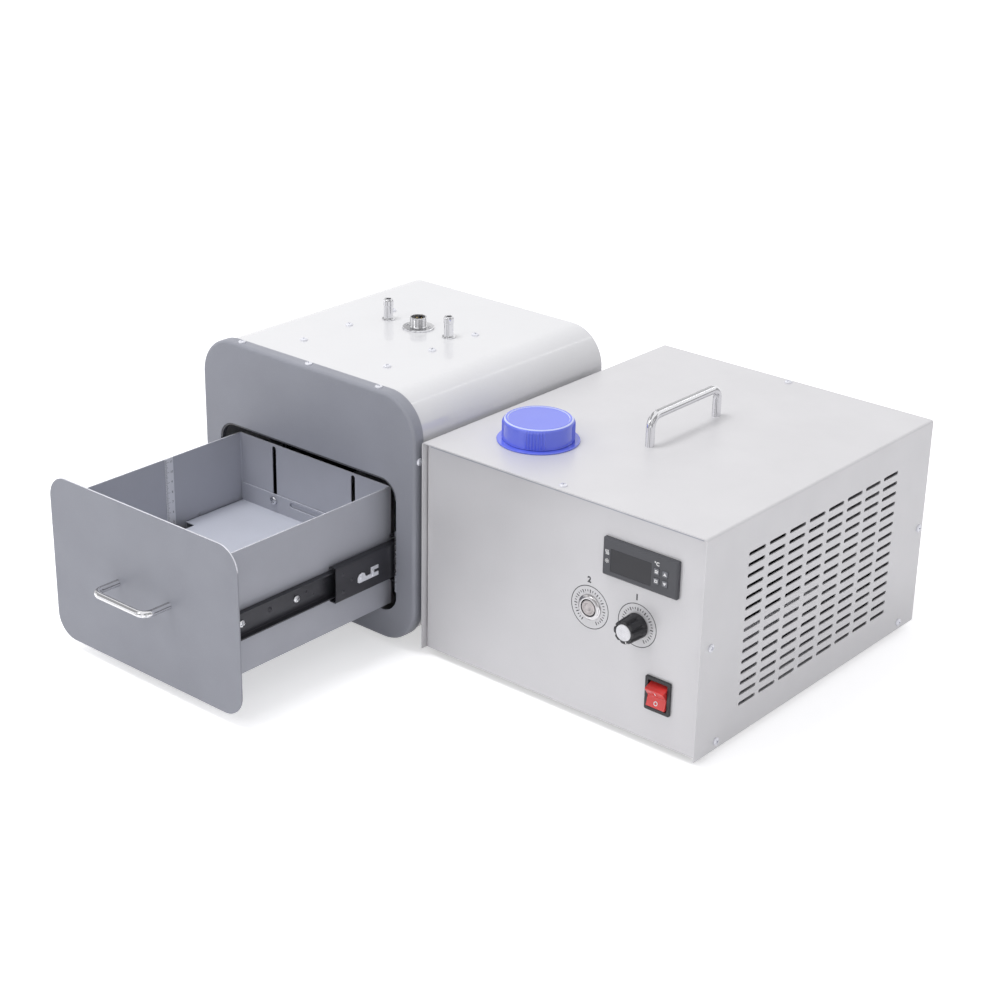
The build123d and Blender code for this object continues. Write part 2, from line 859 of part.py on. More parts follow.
def bow_handle(plane, spacing, reach, rod, bend):
    """A bent rod with two feet on a plane. The plane's own x runs along the handle."""
    turns = [math.radians(90 * step / bend_steps) for step in range(bend_steps + 1)]
    bend_points = [
        (spacing / 2 - bend + bend * math.cos(turn), reach - bend + bend * math.sin(turn)) for turn in turns
    ]
    left_half = [(-spacing / 2, 0)] + [(-across, up) for across, up in bend_points]
    right_half = list(reversed(bend_points)) + [(spacing / 2, 0)]
    with BuildPart() as handle:
        with BuildLine(Plane.XZ) as route:
            Polyline(*left_half, *right_half)
        with BuildSketch(Plane((-spacing / 2, 0, 0))):
            RegularPolygon(rod / 2, rod_sides)
        sweep(path=route.line, transition=Transition.RIGHT)
    return plane.location * handle.part


handle_plane = facing_front(chamber_x, drawer_front_y, handle_z)
with BuildPart() as drawer_handle:
    add(bow_handle(handle_plane, handle_spacing, handle_reach, handle_rod, handle_bend))
    with BuildSketch(handle_plane):
        with GridLocations(handle_spacing, 1, 2, 1):
            RegularPolygon(handle_screw_radius + fit, screw_sides)
    extrude(amount=handle_screw_length, mode=Mode.SUBTRACT)
save(drawer_handle, "drawer_handle")

# Screws of the drawer: two behind the handle, three on each inner channel
handle_screw_planes = [
    Plane(origin=(chamber_x + i * handle_spacing / 2, front_rear, handle_z), z_dir=(0, 1, 0))
    for i in (-1, 1)
]
slide_screw_planes = [
    Plane(origin=(chamber_x + side * (wall_half + slide_sheet), y, slide_height_z), z_dir=(side, 0, 0))
    for side in (-1, 1)
    for y in screw_rows
]
with BuildPart() as drawer_screws:
    add(
        pan_screws(
            handle_screw_planes,
            handle_screw_head_radius,
            handle_screw_head_height,
            handle_screw_radius,
            handle_screw_length,
        )
    )
    add(
        pan_screws(
            slide_screw_planes,
            slide_screw_head_radius,
            slide_screw_head_height,
            slide_screw_radius,
            slide_sheet + thin_sheet,
        )
    )
save(drawer_screws, "drawer_screws")

tray_floor = tray_bottom + thin_sheet
tray_inside_half = wall_half - thin_sheet
with BuildPart() as height_scale:
    with BuildSketch(facing_right(chamber_x - tray_inside_half, chamber_front - scale_setback, tray_floor)):
        Rectangle(scale_width, tray_top - tray_floor, align=(Align.CENTER, Align.MIN))
    extrude(amount=scale_thickness)
save(height_scale, "height_scale")

# Platform: a shallow pan, skirt down on three sides, lip up at the back with a hand slot
platform_half = tray_inside_half - platform_side_gap
platform_front = tray_start + thin_sheet + platform_front_gap
platform_back = tray_end - thin_sheet - platform_back_gap
platform_length = platform_back - platform_front
platform_mid_y = (platform_front + platform_back) / 2
clamp_z = platform_top + clamp_height
with BuildPart() as platform:
    with BuildSketch(Plane((chamber_x, platform_mid_y, platform_top))):
        Rectangle(2 * platform_half, platform_length)
    extrude(amount=-platform_skirt)
    with BuildSketch(Plane((chamber_x, platform_mid_y, platform_top - thin_sheet))):
        Rectangle(2 * platform_half - 2 * thin_sheet, platform_length - 2 * thin_sheet)
    extrude(amount=-platform_skirt, mode=Mode.SUBTRACT)
    with BuildSketch(facing_front(chamber_x, platform_back, platform_top)):
        Rectangle(2 * platform_half, platform_lip, align=(Align.CENTER, Align.MIN))
        with Locations((0, platform_lip - platform_slot_height)):
            Rectangle(platform_slot_length, platform_slot_height, mode=Mode.SUBTRACT)
        with Locations((0, clamp_height)):
            with GridLocations(tray_slot_spacing, 1, 2, 1):
                RegularPolygon(clamp_radius + fit, screw_sides, mode=Mode.SUBTRACT)
    extrude(amount=thin_sheet)
    with BuildSketch(Plane((chamber_x - platform_half, chamber_front - scale_setback, platform_top))):
        Rectangle(platform_notch, scale_width + platform_notch / 2)
    extrude(amount=-platform_skirt, mode=Mode.SUBTRACT)
save(platform, "platform")

clamp_planes = [
    Plane(
        origin=(chamber_x + i * tray_slot_spacing / 2, platform_back - thin_sheet, clamp_z),
        x_dir=(1, 0, 0),
        z_dir=(0, -1, 0),
    )
    for i in (-1, 1)
]
clamp_length = thin_sheet + platform_back_gap + thin_sheet + running_gap + clamp_nut_height + 1
with BuildPart() as clamp_screws:
    add(pan_screws(clamp_planes, clamp_head_radius, clamp_head_height, clamp_radius, clamp_length))
save(clamp_screws, "clamp_screws")

with BuildPart() as clamp_nuts:
    for i in (-1, 1):
        nut_plane = facing_front(chamber_x + i * tray_slot_spacing / 2, tray_end + running_gap, clamp_z)
        with BuildSketch(nut_plane):
            RegularPolygon(radius=clamp_nut_radius, side_count=6)
            RegularPolygon(clamp_radius + fit, screw_sides, mode=Mode.SUBTRACT)
        extrude(amount=-clamp_nut_height)
save(clamp_nuts, "clamp_nuts")

# Control unit: inverted-U cover with a field of vents in its right side
neck_plane = Plane((control_left + cap_x, control_front + cap_y, control_top))
carry_plane = Plane(
    origin=(control_x, control_front + carry_setback, control_top), x_dir=(0, 1, 0), z_dir=(0, 0, 1)
)
with BuildPart() as control_cover:
    with BuildSketch(facing_front(control_x, control_front, control_bottom)):
        Rectangle(control_width, control_height, align=(Align.CENTER, Align.MIN))
    extrude(amount=-control_depth)
    fillet(control_cover.edges().filter_by(Axis.Y).group_by(Axis.Z)[-1], radius=cover_bend)
    with BuildSketch(facing_front(control_x, control_front, control_bottom)):
        Rectangle(
            control_width - 2 * thin_sheet, control_height - thin_sheet, align=(Align.CENTER, Align.MIN)
        )
    extrude(amount=-control_depth, mode=Mode.SUBTRACT)
    vent_mid_y = control_front + vent_first_y + (vent_columns - 1) * vent_pitch_y / 2
    vent_mid_z = control_bottom + vent_first_z + (vent_rows - 1) * vent_pitch_z / 2
    with BuildSketch(facing_right(control_left + control_width, vent_mid_y, vent_mid_z)):
        with GridLocations(vent_pitch_y, vent_pitch_z, vent_columns, vent_rows):
            Rectangle(vent_length, vent_height)
    extrude(amount=-thin_sheet, mode=Mode.SUBTRACT)
    with BuildSketch(neck_plane):
        RegularPolygon(neck_radius + fit, large_round_sides)
    extrude(amount=-thin_sheet, mode=Mode.SUBTRACT)
save(control_cover, "control_cover")

# Control unit: base tray between the panels, with a lip up on all four sides
base_width = control_width - 2 * thin_sheet - 2 * fit
base_start = panel_face + sheet
base_length = back_face - sheet - base_start
base_y = base_start + base_length / 2
with BuildPart() as control_base:
    with BuildSketch(Plane((control_x, base_y, control_bottom))):
        Rectangle(base_width, base_length)
    extrude(amount=base_lip)
    with BuildSketch(Plane((control_x, base_y, floor_top))):
        Rectangle(base_width - 2 * thin_sheet, base_length - 2 * thin_sheet)
    extrude(amount=base_lip, mode=Mode.SUBTRACT)
save(control_base, "control_base")

with BuildPart() as control_feet:
    with BuildSketch(Plane((control_x, control_front + control_depth / 2, 0))):
        with GridLocations(
            control_width - 2 * control_foot_inset, control_depth - 2 * control_foot_inset, 2, 2
        ):
            RegularPolygon(control_foot_radius, round_sides)
    extrude(amount=control_foot, taper=foot_taper)
save(control_feet, "control_feet")

# Front and back panels: flat sheets with a rim that is turned inwards at the top and sides
panel_height = control_height - thin_sheet - fit
panel_width = base_width
controller_at = (controller_x - control_width / 2, controller_z)
button_at = (button_x - control_width / 2, dial_z)
knob_at = (knob_x - control_width / 2, dial_z)
rocker_at = (rocker_x - control_width / 2, rocker_z)
with BuildPart() as control_front_panel:
    with BuildSketch(facing_front(control_x, panel_face, control_bottom)):
        Rectangle(panel_width, panel_height, align=(Align.CENTER, Align.MIN))
    extrude(amount=-panel_flange)
    with BuildSketch(facing_front(control_x, panel_face + sheet, control_bottom)):
        Rectangle(panel_width - 2 * sheet, panel_height - sheet, align=(Align.CENTER, Align.MIN))
    extrude(amount=-panel_flange, mode=Mode.SUBTRACT)
    with BuildSketch(facing_right(control_left, panel_face + sheet, control_bottom)):
        Rectangle(panel_flange, base_lip + fit, align=(Align.MIN, Align.MIN))
    extrude(amount=control_width, mode=Mode.SUBTRACT)
    with BuildSketch(facing_front(control_x, panel_face, control_bottom)):
        with Locations(controller_at):
            Rectangle(controller_body_width + 2 * fit, controller_body_height + 2 * fit)
        with Locations(button_at):
            RegularPolygon(button_thread_radius + fit, round_sides)
        with Locations(knob_at):
            RegularPolygon(pot_bush_radius + fit, round_sides)
        with Locations(rocker_at):
            Rectangle(rocker_case_width + 2 * fit, rocker_case_height + 2 * fit)
    extrude(amount=-sheet, mode=Mode.SUBTRACT)
save(control_front_panel, "control_front_panel")

fan_at = (control_left + radiator_x - control_x, radiator_z - control_bottom)
with BuildPart() as control_back_panel:
    with BuildSketch(facing_front(control_x, back_face, control_bottom)):
        Rectangle(panel_width, panel_height, align=(Align.CENTER, Align.MIN))
    extrude(amount=panel_flange)
    with BuildSketch(facing_front(control_x, back_face - sheet, control_bottom)):
        Rectangle(panel_width - 2 * sheet, panel_height - sheet, align=(Align.CENTER, Align.MIN))
    extrude(amount=panel_flange, mode=Mode.SUBTRACT)
    with BuildSketch(facing_right(control_left, back_face - sheet, control_bottom)):
        Rectangle(panel_flange, base_lip + fit, align=(Align.MAX, Align.MIN))
    extrude(amount=control_width, mode=Mode.SUBTRACT)
    with BuildSketch(facing_front(control_x, back_face, control_bottom)):
        for row in range(grille_rows):
            up = (row - (grille_rows - 1) / 2) * grille_pitch
            edge = abs(up) + grille_slot_height / 2
            reach = math.sqrt(grille_radius**2 - edge**2)
            slot = reach - grille_bridge / 2
            across = (slot + grille_bridge) / 2
            with Locations(*[(fan_at[0] + i * across, fan_at[1] + up) for i in (-1, 1)]):
                Rectangle(slot, grille_slot_height)
        with Locations((gland_x - control_width / 2, gland_z)):
            RegularPolygon(gland_tail_radius + fit, round_sides)
        with Locations((back_socket_x - control_width / 2, back_ports_z - control_bottom)):
            RegularPolygon(socket_radius + fit, round_sides)
            with GridLocations(2 * back_barb_spacing, 1, 2, 1):
                RegularPolygon(barb_thread_radius + fit, rod_sides)
    extrude(amount=sheet, mode=Mode.SUBTRACT)
save(control_back_panel, "control_back_panel")

with BuildPart() as carry_handle:
    add(bow_handle(carry_plane, carry_spacing, carry_reach, carry_rod, carry_bend))
save(carry_handle, "carry_handle")


# Water tank, filler neck, cap and liner
tank_top = floor_top + tank_height
tank_plane = Plane((control_left + tank_x, control_front + tank_y, floor_top))
with BuildPart() as water_tank:
    with BuildSketch(tank_plane):
        Rectangle(tank_width, tank_length)
    extrude(amount=tank_height)
    chamfer(water_tank.edges().filter_by(Axis.Z), length=tank_corner)
    with BuildSketch(tank_plane.offset(tank_wall)) as tank_space:
        Rectangle(tank_width - 2 * tank_wall, tank_length - 2 * tank_wall)
        chamfer(tank_space.vertices(), length=tank_corner)
    extrude(amount=tank_height - 2 * tank_wall, mode=Mode.SUBTRACT)
    with BuildSketch(Plane((control_left + cap_x, control_front + cap_y, tank_top))):
        RegularPolygon(neck_bore_radius, large_round_sides)
    extrude(amount=-tank_wall, mode=Mode.SUBTRACT)
save(water_tank, "water_tank")

neck_bottom = tank_top - control_top
with BuildPart() as tank_neck:
    with BuildSketch(neck_plane.offset(neck_bottom)):
        RegularPolygon(neck_radius, large_round_sides)
    extrude(amount=neck_proud - neck_bottom)
    with BuildSketch(neck_plane):
        RegularPolygon(neck_flange_radius, large_round_sides)
    extrude(amount=neck_flange_height)
    with BuildSketch(neck_plane.offset(neck_bottom)):
        RegularPolygon(neck_bore_radius, large_round_sides)
    extrude(amount=neck_proud - neck_bottom, mode=Mode.SUBTRACT)
save(tank_neck, "tank_neck")

cap_bottom = neck_flange_height + cap_gap
liner_bottom = neck_proud
rib_span = (cap_rib_count - 1) * cap_rib_angle
with BuildPart() as filler_cap:
    with BuildSketch(neck_plane.offset(cap_bottom)):
        RegularPolygon(cap_radius, large_round_sides)
    extrude(amount=cap_height - cap_edge)
    with BuildSketch(neck_plane.offset(cap_bottom + cap_height - cap_edge)):
        RegularPolygon(cap_radius, large_round_sides)
    extrude(amount=cap_edge, taper=cap_slope)
    with BuildSketch(neck_plane.offset(cap_bottom)):
        RegularPolygon(cap_radius - cap_wall, large_round_sides, major_radius=False)
    extrude(amount=cap_height - cap_wall - cap_edge, mode=Mode.SUBTRACT)
    with BuildSketch(neck_plane.offset(cap_bottom)):
        for group in range(cap_rib_groups):
            rib_start = front_angle + group * 360 / cap_rib_groups - rib_span / 2
            with PolarLocations(cap_radius, cap_rib_count, rib_start, rib_span):
                RegularPolygon(radius=cap_rib_radius, side_count=4)
    extrude(amount=cap_height - cap_edge)
save(filler_cap, "filler_cap")

liner_top = cap_bottom + cap_height - cap_wall - cap_edge
with BuildPart() as cap_liner:
    with BuildSketch(neck_plane.offset(liner_bottom)):
        RegularPolygon(liner_radius, large_round_sides)
    extrude(amount=liner_top - liner_bottom)
save(cap_liner, "cap_liner")

# Circulation pump on the base
with BuildPart() as pump:
    with BuildSketch(Plane((control_left + pump_x, control_front + pump_y, floor_top))):
        Rectangle(2 * pump_head_radius, 2 * pump_head_radius)
    extrude(amount=pump_plate)
    with BuildSketch(Plane((control_left + pump_x, control_front + pump_y, floor_top))):
        RegularPolygon(pump_head_radius - pump_step, round_sides)
    extrude(amount=pump_plate + pump_head_height)
    with BuildSketch(Plane((control_left + pump_x, control_front + pump_y, floor_top))):
        RegularPolygon(pump_radius, round_sides)
    extrude(amount=pump_plate + pump_head_height + pump_length)
save(pump, "pump")

# Radiator and fan against the back panel's grille
fan_back = back_face - sheet
fan_front = fan_back - fan_depth
fan_x = control_left + radiator_x
with BuildPart() as radiator:
    with BuildSketch(facing_front(fan_x, fan_front - radiator_depth, radiator_z)):
        Rectangle(radiator_side, radiator_side)
    extrude(amount=-radiator_depth)
    fin_field = radiator_side - 2 * radiator_tank
    fin_pitch = fin_field / radiator_fins
    for fin_plane, inwards in ((fan_front - radiator_depth, -1), (fan_front, 1)):
        with BuildSketch(facing_front(fan_x, fin_plane, radiator_z)):
            with GridLocations(1, fin_pitch, 1, radiator_fins):
                Rectangle(fin_field, radiator_fin_gap)
        extrude(amount=inwards * radiator_fin_depth, mode=Mode.SUBTRACT)
save(radiator, "radiator")

with BuildPart() as fan_frame:
    with BuildSketch(facing_front(fan_x, fan_front, radiator_z)) as frame_outline:
        Rectangle(fan_side, fan_side)
        chamfer(frame_outline.vertices(), length=fan_corner)
        RegularPolygon(fan_bore_radius, large_round_sides, major_radius=False, mode=Mode.SUBTRACT)
    extrude(amount=-fan_depth)
    with BuildSketch(facing_front(fan_x, fan_back, radiator_z)):
        with PolarLocations(fan_bore_radius / 2 + fan_strut_shift, 4, 45):
            Rectangle(fan_bore_radius, fan_strut_width)
        RegularPolygon(fan_hub_radius, round_sides)
        RegularPolygon(fan_pin_radius + 2 * fit, round_sides, major_radius=False, mode=Mode.SUBTRACT)
    extrude(amount=fan_strut_depth)
save(fan_frame, "fan_frame")

rotor_back = fan_back - fan_strut_depth - running_gap
rotor_depth = fan_depth - fan_strut_depth - fan_recess
blade_length = fan_bore_radius - fan_tip_gap - fan_hub_radius
blade_axis = Axis((fan_x, rotor_back - rotor_depth / 2, radiator_z), (0, 1, 0))
with BuildPart() as fan_rotor:
    with BuildSketch(facing_front(fan_x, rotor_back, radiator_z)):
        RegularPolygon(fan_hub_radius, large_round_sides)
    extrude(amount=rotor_depth)
    with BuildSketch(facing_front(fan_x, fan_back, radiator_z)):
        Circle(fan_pin_radius)
    extrude(amount=fan_strut_depth + running_gap)
    with BuildPart(mode=Mode.PRIVATE) as fan_blade:
        with BuildSketch(Plane((fan_x, rotor_back - rotor_depth / 2, radiator_z + fan_hub_radius - 1))):
            Rectangle(fan_blade_width, fan_blade_thickness, rotation=fan_blade_pitch)
        extrude(amount=blade_length - fan_blade_crown)
    add([fan_blade.part.rotate(blade_axis, i * 360 / fan_blades) for i in range(fan_blades)])
save(fan_rotor, "fan_rotor")

# Lamp driver: an aluminium case with cooling fins along its top
with BuildPart() as lamp_driver:
    with BuildSketch(Plane((control_left + driver_x, control_front + driver_y, floor_top))):
        Rectangle(driver_width, driver_length)
    extrude(amount=driver_height)
    with BuildSketch(
        Plane((control_left + driver_x, control_front + driver_y, floor_top + driver_height))
    ):
        with GridLocations(driver_width / driver_fins, 1, driver_fins - 1, 1):
            Rectangle(driver_fin_gap, driver_length)
    extrude(amount=-driver_fin_height, mode=Mode.SUBTRACT)
save(lamp_driver, "lamp_driver")

# Cable gland for the mains cord
with BuildPart() as gland_body:
    with BuildSketch(Plane.XY):
        RegularPolygon(radius=gland_radius + gland_hex_margin, side_count=6)
    extrude(amount=gland_flange)
    with BuildSketch(Plane.XY.offset(gland_flange)):
        RegularPolygon(gland_radius, round_sides)
    extrude(amount=gland_length - gland_flange, taper=gland_taper)
    with BuildSketch(Plane.XY):
        RegularPolygon(gland_tail_radius, round_sides)
    extrude(amount=-gland_tail_length)
    with BuildSketch(Plane.XY.offset(gland_length)):
        Circle(gland_bore_radius)
    extrude(amount=-gland_length - gland_tail_length, mode=Mode.SUBTRACT)
with BuildPart() as cable_gland:
    add(facing_back(control_left + gland_x, control_bottom + gland_z).location * gland_body.part)
save(cable_gland, "cable_gland")

# Temperature controller: bezel in front of the panel, body behind it, display and four keys
controller_face = panel_face - bezel_thickness
controller_plane = facing_front(control_left + controller_x, controller_face, control_bottom + controller_z)
key_places = [
    (key_shift_x + i * key_pitch / 2, key_shift_z + j * key_pitch / 2) for j in (1, -1) for i in (-1, 1)
]
key_pocket = key_side + 2 * key_clearance
key_pocket_depth = key_length - key_proud + key_travel + key_clearance
with BuildPart() as controller_case:
    with BuildSketch(controller_plane):
        Rectangle(controller_width, controller_height)
    extrude(amount=-bezel_thickness)
    chamfer(controller_case.faces().sort_by(Axis.Y)[0].edges(), length=controller_edge)
    with BuildSketch(controller_plane.offset(-bezel_thickness)):
        Rectangle(controller_body_width, controller_body_height)
    extrude(amount=-controller_body_depth)
    with BuildSketch(controller_plane):
        with Locations((display_shift_x, display_shift_z)):
            Rectangle(display_width + 2 * fit, display_height + 2 * fit)
    extrude(amount=-display_depth, mode=Mode.SUBTRACT)
    with BuildSketch(controller_plane):
        with Locations(*key_places):
            Rectangle(key_pocket, key_pocket)
    extrude(amount=-key_pocket_depth, mode=Mode.SUBTRACT)
save(controller_case, "controller_case")

with BuildPart() as display_window:
    with BuildSketch(controller_plane.offset(-display_depth)):
        with Locations((display_shift_x, display_shift_z)):
            Rectangle(display_width, display_height)
    extrude(amount=display_depth)
save(display_window, "display_window")

for number, place in enumerate(key_places, start=1):
    with BuildPart() as controller_key:
        with BuildSketch(controller_plane.offset(key_proud)):
            with Locations(place):
                Rectangle(key_side, key_side)
        extrude(amount=-key_length)
    save(controller_key, f"controller_key_{number}")

# Metal push button in the left dial
button_plane = facing_front(control_left + button_x, panel_face, control_bottom + dial_z)
button_hole_depth = button_height - button_proud + button_travel + running_gap
with BuildPart() as button_bezel:
    with BuildSketch(button_plane):
        RegularPolygon(button_bezel_radius, large_round_sides)
    extrude(amount=button_bezel_height)
    chamfer(button_bezel.faces().sort_by(Axis.Y)[0].edges(), length=button_bezel_edge)
    with BuildSketch(button_plane):
        RegularPolygon(button_thread_radius, round_sides)
    extrude(amount=-button_thread_length)
    with BuildSketch(button_plane.offset(button_bezel_height)):
        RegularPolygon(button_radius + button_clearance, large_round_sides, major_radius=False)
    extrude(amount=-button_hole_depth, mode=Mode.SUBTRACT)
save(button_bezel, "button_bezel")

with BuildPart() as push_button:
    with BuildSketch(button_plane.offset(button_bezel_height + button_proud)):
        RegularPolygon(button_radius, large_round_sides)
    extrude(amount=-button_height)
save(push_button, "push_button")

# Potentiometer, its shaft and the fluted knob of the right dial
knob_plane = facing_front(control_left + knob_x, panel_face, control_bottom + dial_z)
with BuildPart() as potentiometer:
    with BuildSketch(knob_plane.offset(-sheet)):
        RegularPolygon(pot_radius, round_sides)
    extrude(amount=-pot_depth)
    with BuildSketch(knob_plane.offset(-sheet)):
        RegularPolygon(pot_bush_radius, round_sides)
    extrude(amount=sheet + pot_bush_length)
    with BuildSketch(knob_plane):
        RegularPolygon(radius=pot_nut_radius, side_count=6)
    extrude(amount=pot_nut_height)
    with BuildSketch(knob_plane.offset(pot_bush_length)):
        Circle(shaft_radius + shaft_clearance)
    extrude(amount=-pot_bush_length - sheet - pot_depth / 2, mode=Mode.SUBTRACT)
save(potentiometer, "potentiometer")

shaft_top = knob_gap + knob_length - knob_crown
with BuildPart() as dial_shaft:
    with BuildSketch(knob_plane.offset(shaft_top)):
        RegularPolygon(shaft_radius, round_sides)
    extrude(amount=-shaft_top - sheet - pot_depth / 2 + running_gap)
save(dial_shaft, "dial_shaft")

knob_top = knob_gap + knob_length
knob_taper = math.degrees(math.atan((knob_skirt_radius - knob_nose_radius) / knob_length))
with BuildPart() as knob_body:
    with BuildSketch(Plane.XY.offset(knob_gap)):
        RegularPolygon(knob_skirt_radius, large_round_sides)
    extrude(amount=knob_length, taper=knob_taper)
    with BuildSketch(Plane.XY.offset(knob_gap + knob_skirt_height)):
        with PolarLocations(knob_skirt_radius + knob_flute_radius / 3, knob_flutes, 360 / knob_flutes / 2):
            RegularPolygon(knob_flute_radius, 6)
    extrude(amount=knob_length, mode=Mode.SUBTRACT)
    with BuildSketch(Plane.XY.offset(knob_gap)):
        RegularPolygon(knob_cavity_radius, round_sides)
    extrude(amount=knob_cavity_depth, mode=Mode.SUBTRACT)
    with BuildSketch(Plane.XY.offset(knob_gap)):
        RegularPolygon(shaft_radius, round_sides)
    extrude(amount=shaft_top - knob_gap, mode=Mode.SUBTRACT)
    with BuildSketch(Plane.XY.offset(knob_top)):
        RegularPolygon(knob_cap_radius + fit, large_round_sides)
    extrude(amount=knob_cap_proud - knob_cap_height, mode=Mode.SUBTRACT)
with BuildPart() as control_knob:
    add(knob_plane.location * knob_body.part)
save(control_knob, "control_knob")

with BuildPart() as knob_cap:
    with BuildSketch(knob_plane.offset(knob_top + knob_cap_proud)):
        RegularPolygon(knob_cap_radius, large_round_sides)
    extrude(amount=-knob_cap_height)
save(knob_cap, "knob_cap")

# Rocker switch: hollow case behind a bezel, and a rocker on two pins, tipped to its lower side
rocker_plane = facing_front(control_left + rocker_x, panel_face, control_bottom + rocker_z)
pivot = (control_left + rocker_x, panel_face + rocker_pivot_depth, control_bottom + rocker_z)
rocker_opening_width = rocker_width + 2 * rocker_wall_gap
rocker_opening_height = rocker_height + 2 * rocker_wall_gap
with BuildPart() as rocker_bezel:
    with BuildSketch(rocker_plane):
        Rectangle(rocker_bezel_width, rocker_bezel_height)
    extrude(amount=rocker_bezel_thickness)
    with BuildSketch(rocker_plane):
        Rectangle(rocker_case_width, rocker_case_height)
    extrude(amount=-rocker_case_depth)
    with BuildSketch(rocker_plane.offset(rocker_bezel_thickness)):
        Rectangle(rocker_opening_width, rocker_opening_height)
    extrude(amount=-rocker_bezel_thickness - rocker_hollow_depth, mode=Mode.SUBTRACT)
    with BuildSketch(facing_right(*pivot)):
        RegularPolygon(rocker_pin_radius + rocker_pin_clearance, round_sides, major_radius=False)
    extrude(amount=rocker_width / 2 + rocker_pin_length + fit, both=True, mode=Mode.SUBTRACT)
save(rocker_bezel, "rocker_bezel")

rocker_end = rocker_height / 2
rocker_reach = rocker_pivot_depth + rocker_bezel_thickness
end_out = rocker_reach + rocker_proud
end_height = math.sqrt(rocker_end**2 - rocker_back_depth**2) - rocker_trim
with BuildPart() as rocker:
    with BuildSketch(facing_right(pivot[0] - rocker_width / 2, pivot[1], pivot[2])):
        with BuildLine():
            Polyline(
                (-end_out, end_height),
                (-rocker_reach - rocker_dip, 0),
                (-end_out, -end_height),
                (rocker_back_depth, -end_height - rocker_back_slope),
                (rocker_belly, 0),
                (rocker_back_depth, end_height + rocker_back_slope),
                close=True,
            )
        make_face()
    extrude(amount=rocker_width)
    with BuildSketch(facing_right(*pivot)):
        Circle(rocker_pin_radius)
    extrude(amount=rocker_width / 2 + rocker_pin_length, both=True)
rocker_tipped = rocker.part.rotate(Axis(pivot, (1, 0, 0)), rocker_tilt)
with BuildPart() as power_rocker:
    add(rocker_tipped)
save(power_rocker, "power_rocker")
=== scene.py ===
import json
import math

import bmesh
import bpy
from mathutils import Matrix, Vector
from mathutils.geometry import tessellate_polygon


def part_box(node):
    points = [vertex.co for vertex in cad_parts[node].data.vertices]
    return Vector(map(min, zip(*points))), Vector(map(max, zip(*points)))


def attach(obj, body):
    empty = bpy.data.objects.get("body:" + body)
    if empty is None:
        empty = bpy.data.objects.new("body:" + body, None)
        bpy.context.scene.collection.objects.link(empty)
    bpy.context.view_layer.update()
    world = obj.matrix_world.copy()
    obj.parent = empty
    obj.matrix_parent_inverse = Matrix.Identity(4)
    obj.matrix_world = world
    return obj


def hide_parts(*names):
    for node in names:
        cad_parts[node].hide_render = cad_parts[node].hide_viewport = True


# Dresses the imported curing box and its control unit. Shapes are worked out in millimetres in the
# CAD frame (X right, Y back, Z up) and scaled once, when a piece is made.
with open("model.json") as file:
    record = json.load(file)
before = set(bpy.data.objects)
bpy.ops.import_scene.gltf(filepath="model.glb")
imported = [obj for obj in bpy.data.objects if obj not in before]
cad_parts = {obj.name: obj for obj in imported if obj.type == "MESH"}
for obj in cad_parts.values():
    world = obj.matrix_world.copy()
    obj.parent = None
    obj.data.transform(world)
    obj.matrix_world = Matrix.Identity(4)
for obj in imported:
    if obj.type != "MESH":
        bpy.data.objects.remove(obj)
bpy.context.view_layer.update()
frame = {"nodes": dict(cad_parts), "record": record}

MM = 0.001
BOX_X = -152.0  # the curing box's middle plane
UNIT_LEFT, UNIT_FRONT, UNIT_BOTTOM = -13.5, -68.675, 6.0
REAR_Y, REAR_ROW_Z = 347, 165  # the control unit's back panel, and its barbs and socket
LAMP_ROW_Y = 77.925  # the barbs and the socket on the curing box
BACK_SCREW_X, BACK_SCREW_Z = 66.45, 109.9


def span(node):
    """A CAD node's lowest and highest corners in millimetres."""
    low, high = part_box(node)
    return Vector(low) / MM, Vector(high) / MM


def middle(node):
    """The middle of a CAD node's box in millimetres."""
    low, high = span(node)
    return (low + high) / 2


# ---- planes and outlines
def turned(degrees, axis="Z"):
    """A turn about one axis of a plane."""
    return Matrix.Rotation(math.radians(degrees), 4, axis)


def moved(x, y, z=0.0):
    """A shift within a plane."""
    return Matrix.Translation((x, y, z))


def quarter(steps):
    """Angles from 0 to 90 degrees, in radians."""
    return [math.radians(90 * step / steps) for step in range(steps + 1)]


SIDES = {
    "front": ((1, 0, 0), (0, 0, 1)),
    "back": ((-1, 0, 0), (0, 0, 1)),
    "right": ((0, 1, 0), (0, 0, 1)),
    "left": ((0, -1, 0), (0, 0, 1)),
    "top": ((1, 0, 0), (0, 1, 0)),
    "under": ((1, 0, 0), (0, -1, 0)),
}


def facing(side, x, y, z, turn=0.0):
    """A plane whose own z points out of that side; its own y points up (or back, on top)."""
    across, up = (Vector(axis) for axis in SIDES[side])
    out = across.cross(up)
    plane = Matrix((across, up, out)).transposed().to_4x4()
    plane.translation = Vector((x, y, z))
    return plane @ turned(turn)


def in_unit(side, x, y, z, turn=0.0):
    """The same, measured from the control unit's lower left front corner."""
    return facing(side, UNIT_LEFT + x, UNIT_FRONT + y, UNIT_BOTTOM + z, turn)


def without_repeats(loop):
    """The loop without points that lie on the one before them."""
    return [p for i, p in enumerate(loop) if math.dist(p, loop[i - 1]) > 1e-5]


def rounded(width, height, radius, at=(0, 0), steps=8):
    """A rectangle with round corners, anticlockwise."""
    loop = []
    for quarter, (side_x, side_y) in enumerate(((1, 1), (-1, 1), (-1, -1), (1, -1))):
        centre_x = at[0] + side_x * (width / 2 - radius)
        centre_y = at[1] + side_y * (height / 2 - radius)
        for step in range(steps + 1):
            angle = math.radians(90 * (quarter + step / steps))
            loop.append((centre_x + radius * math.cos(angle), centre_y + radius * math.sin(angle)))
    return without_repeats(loop)


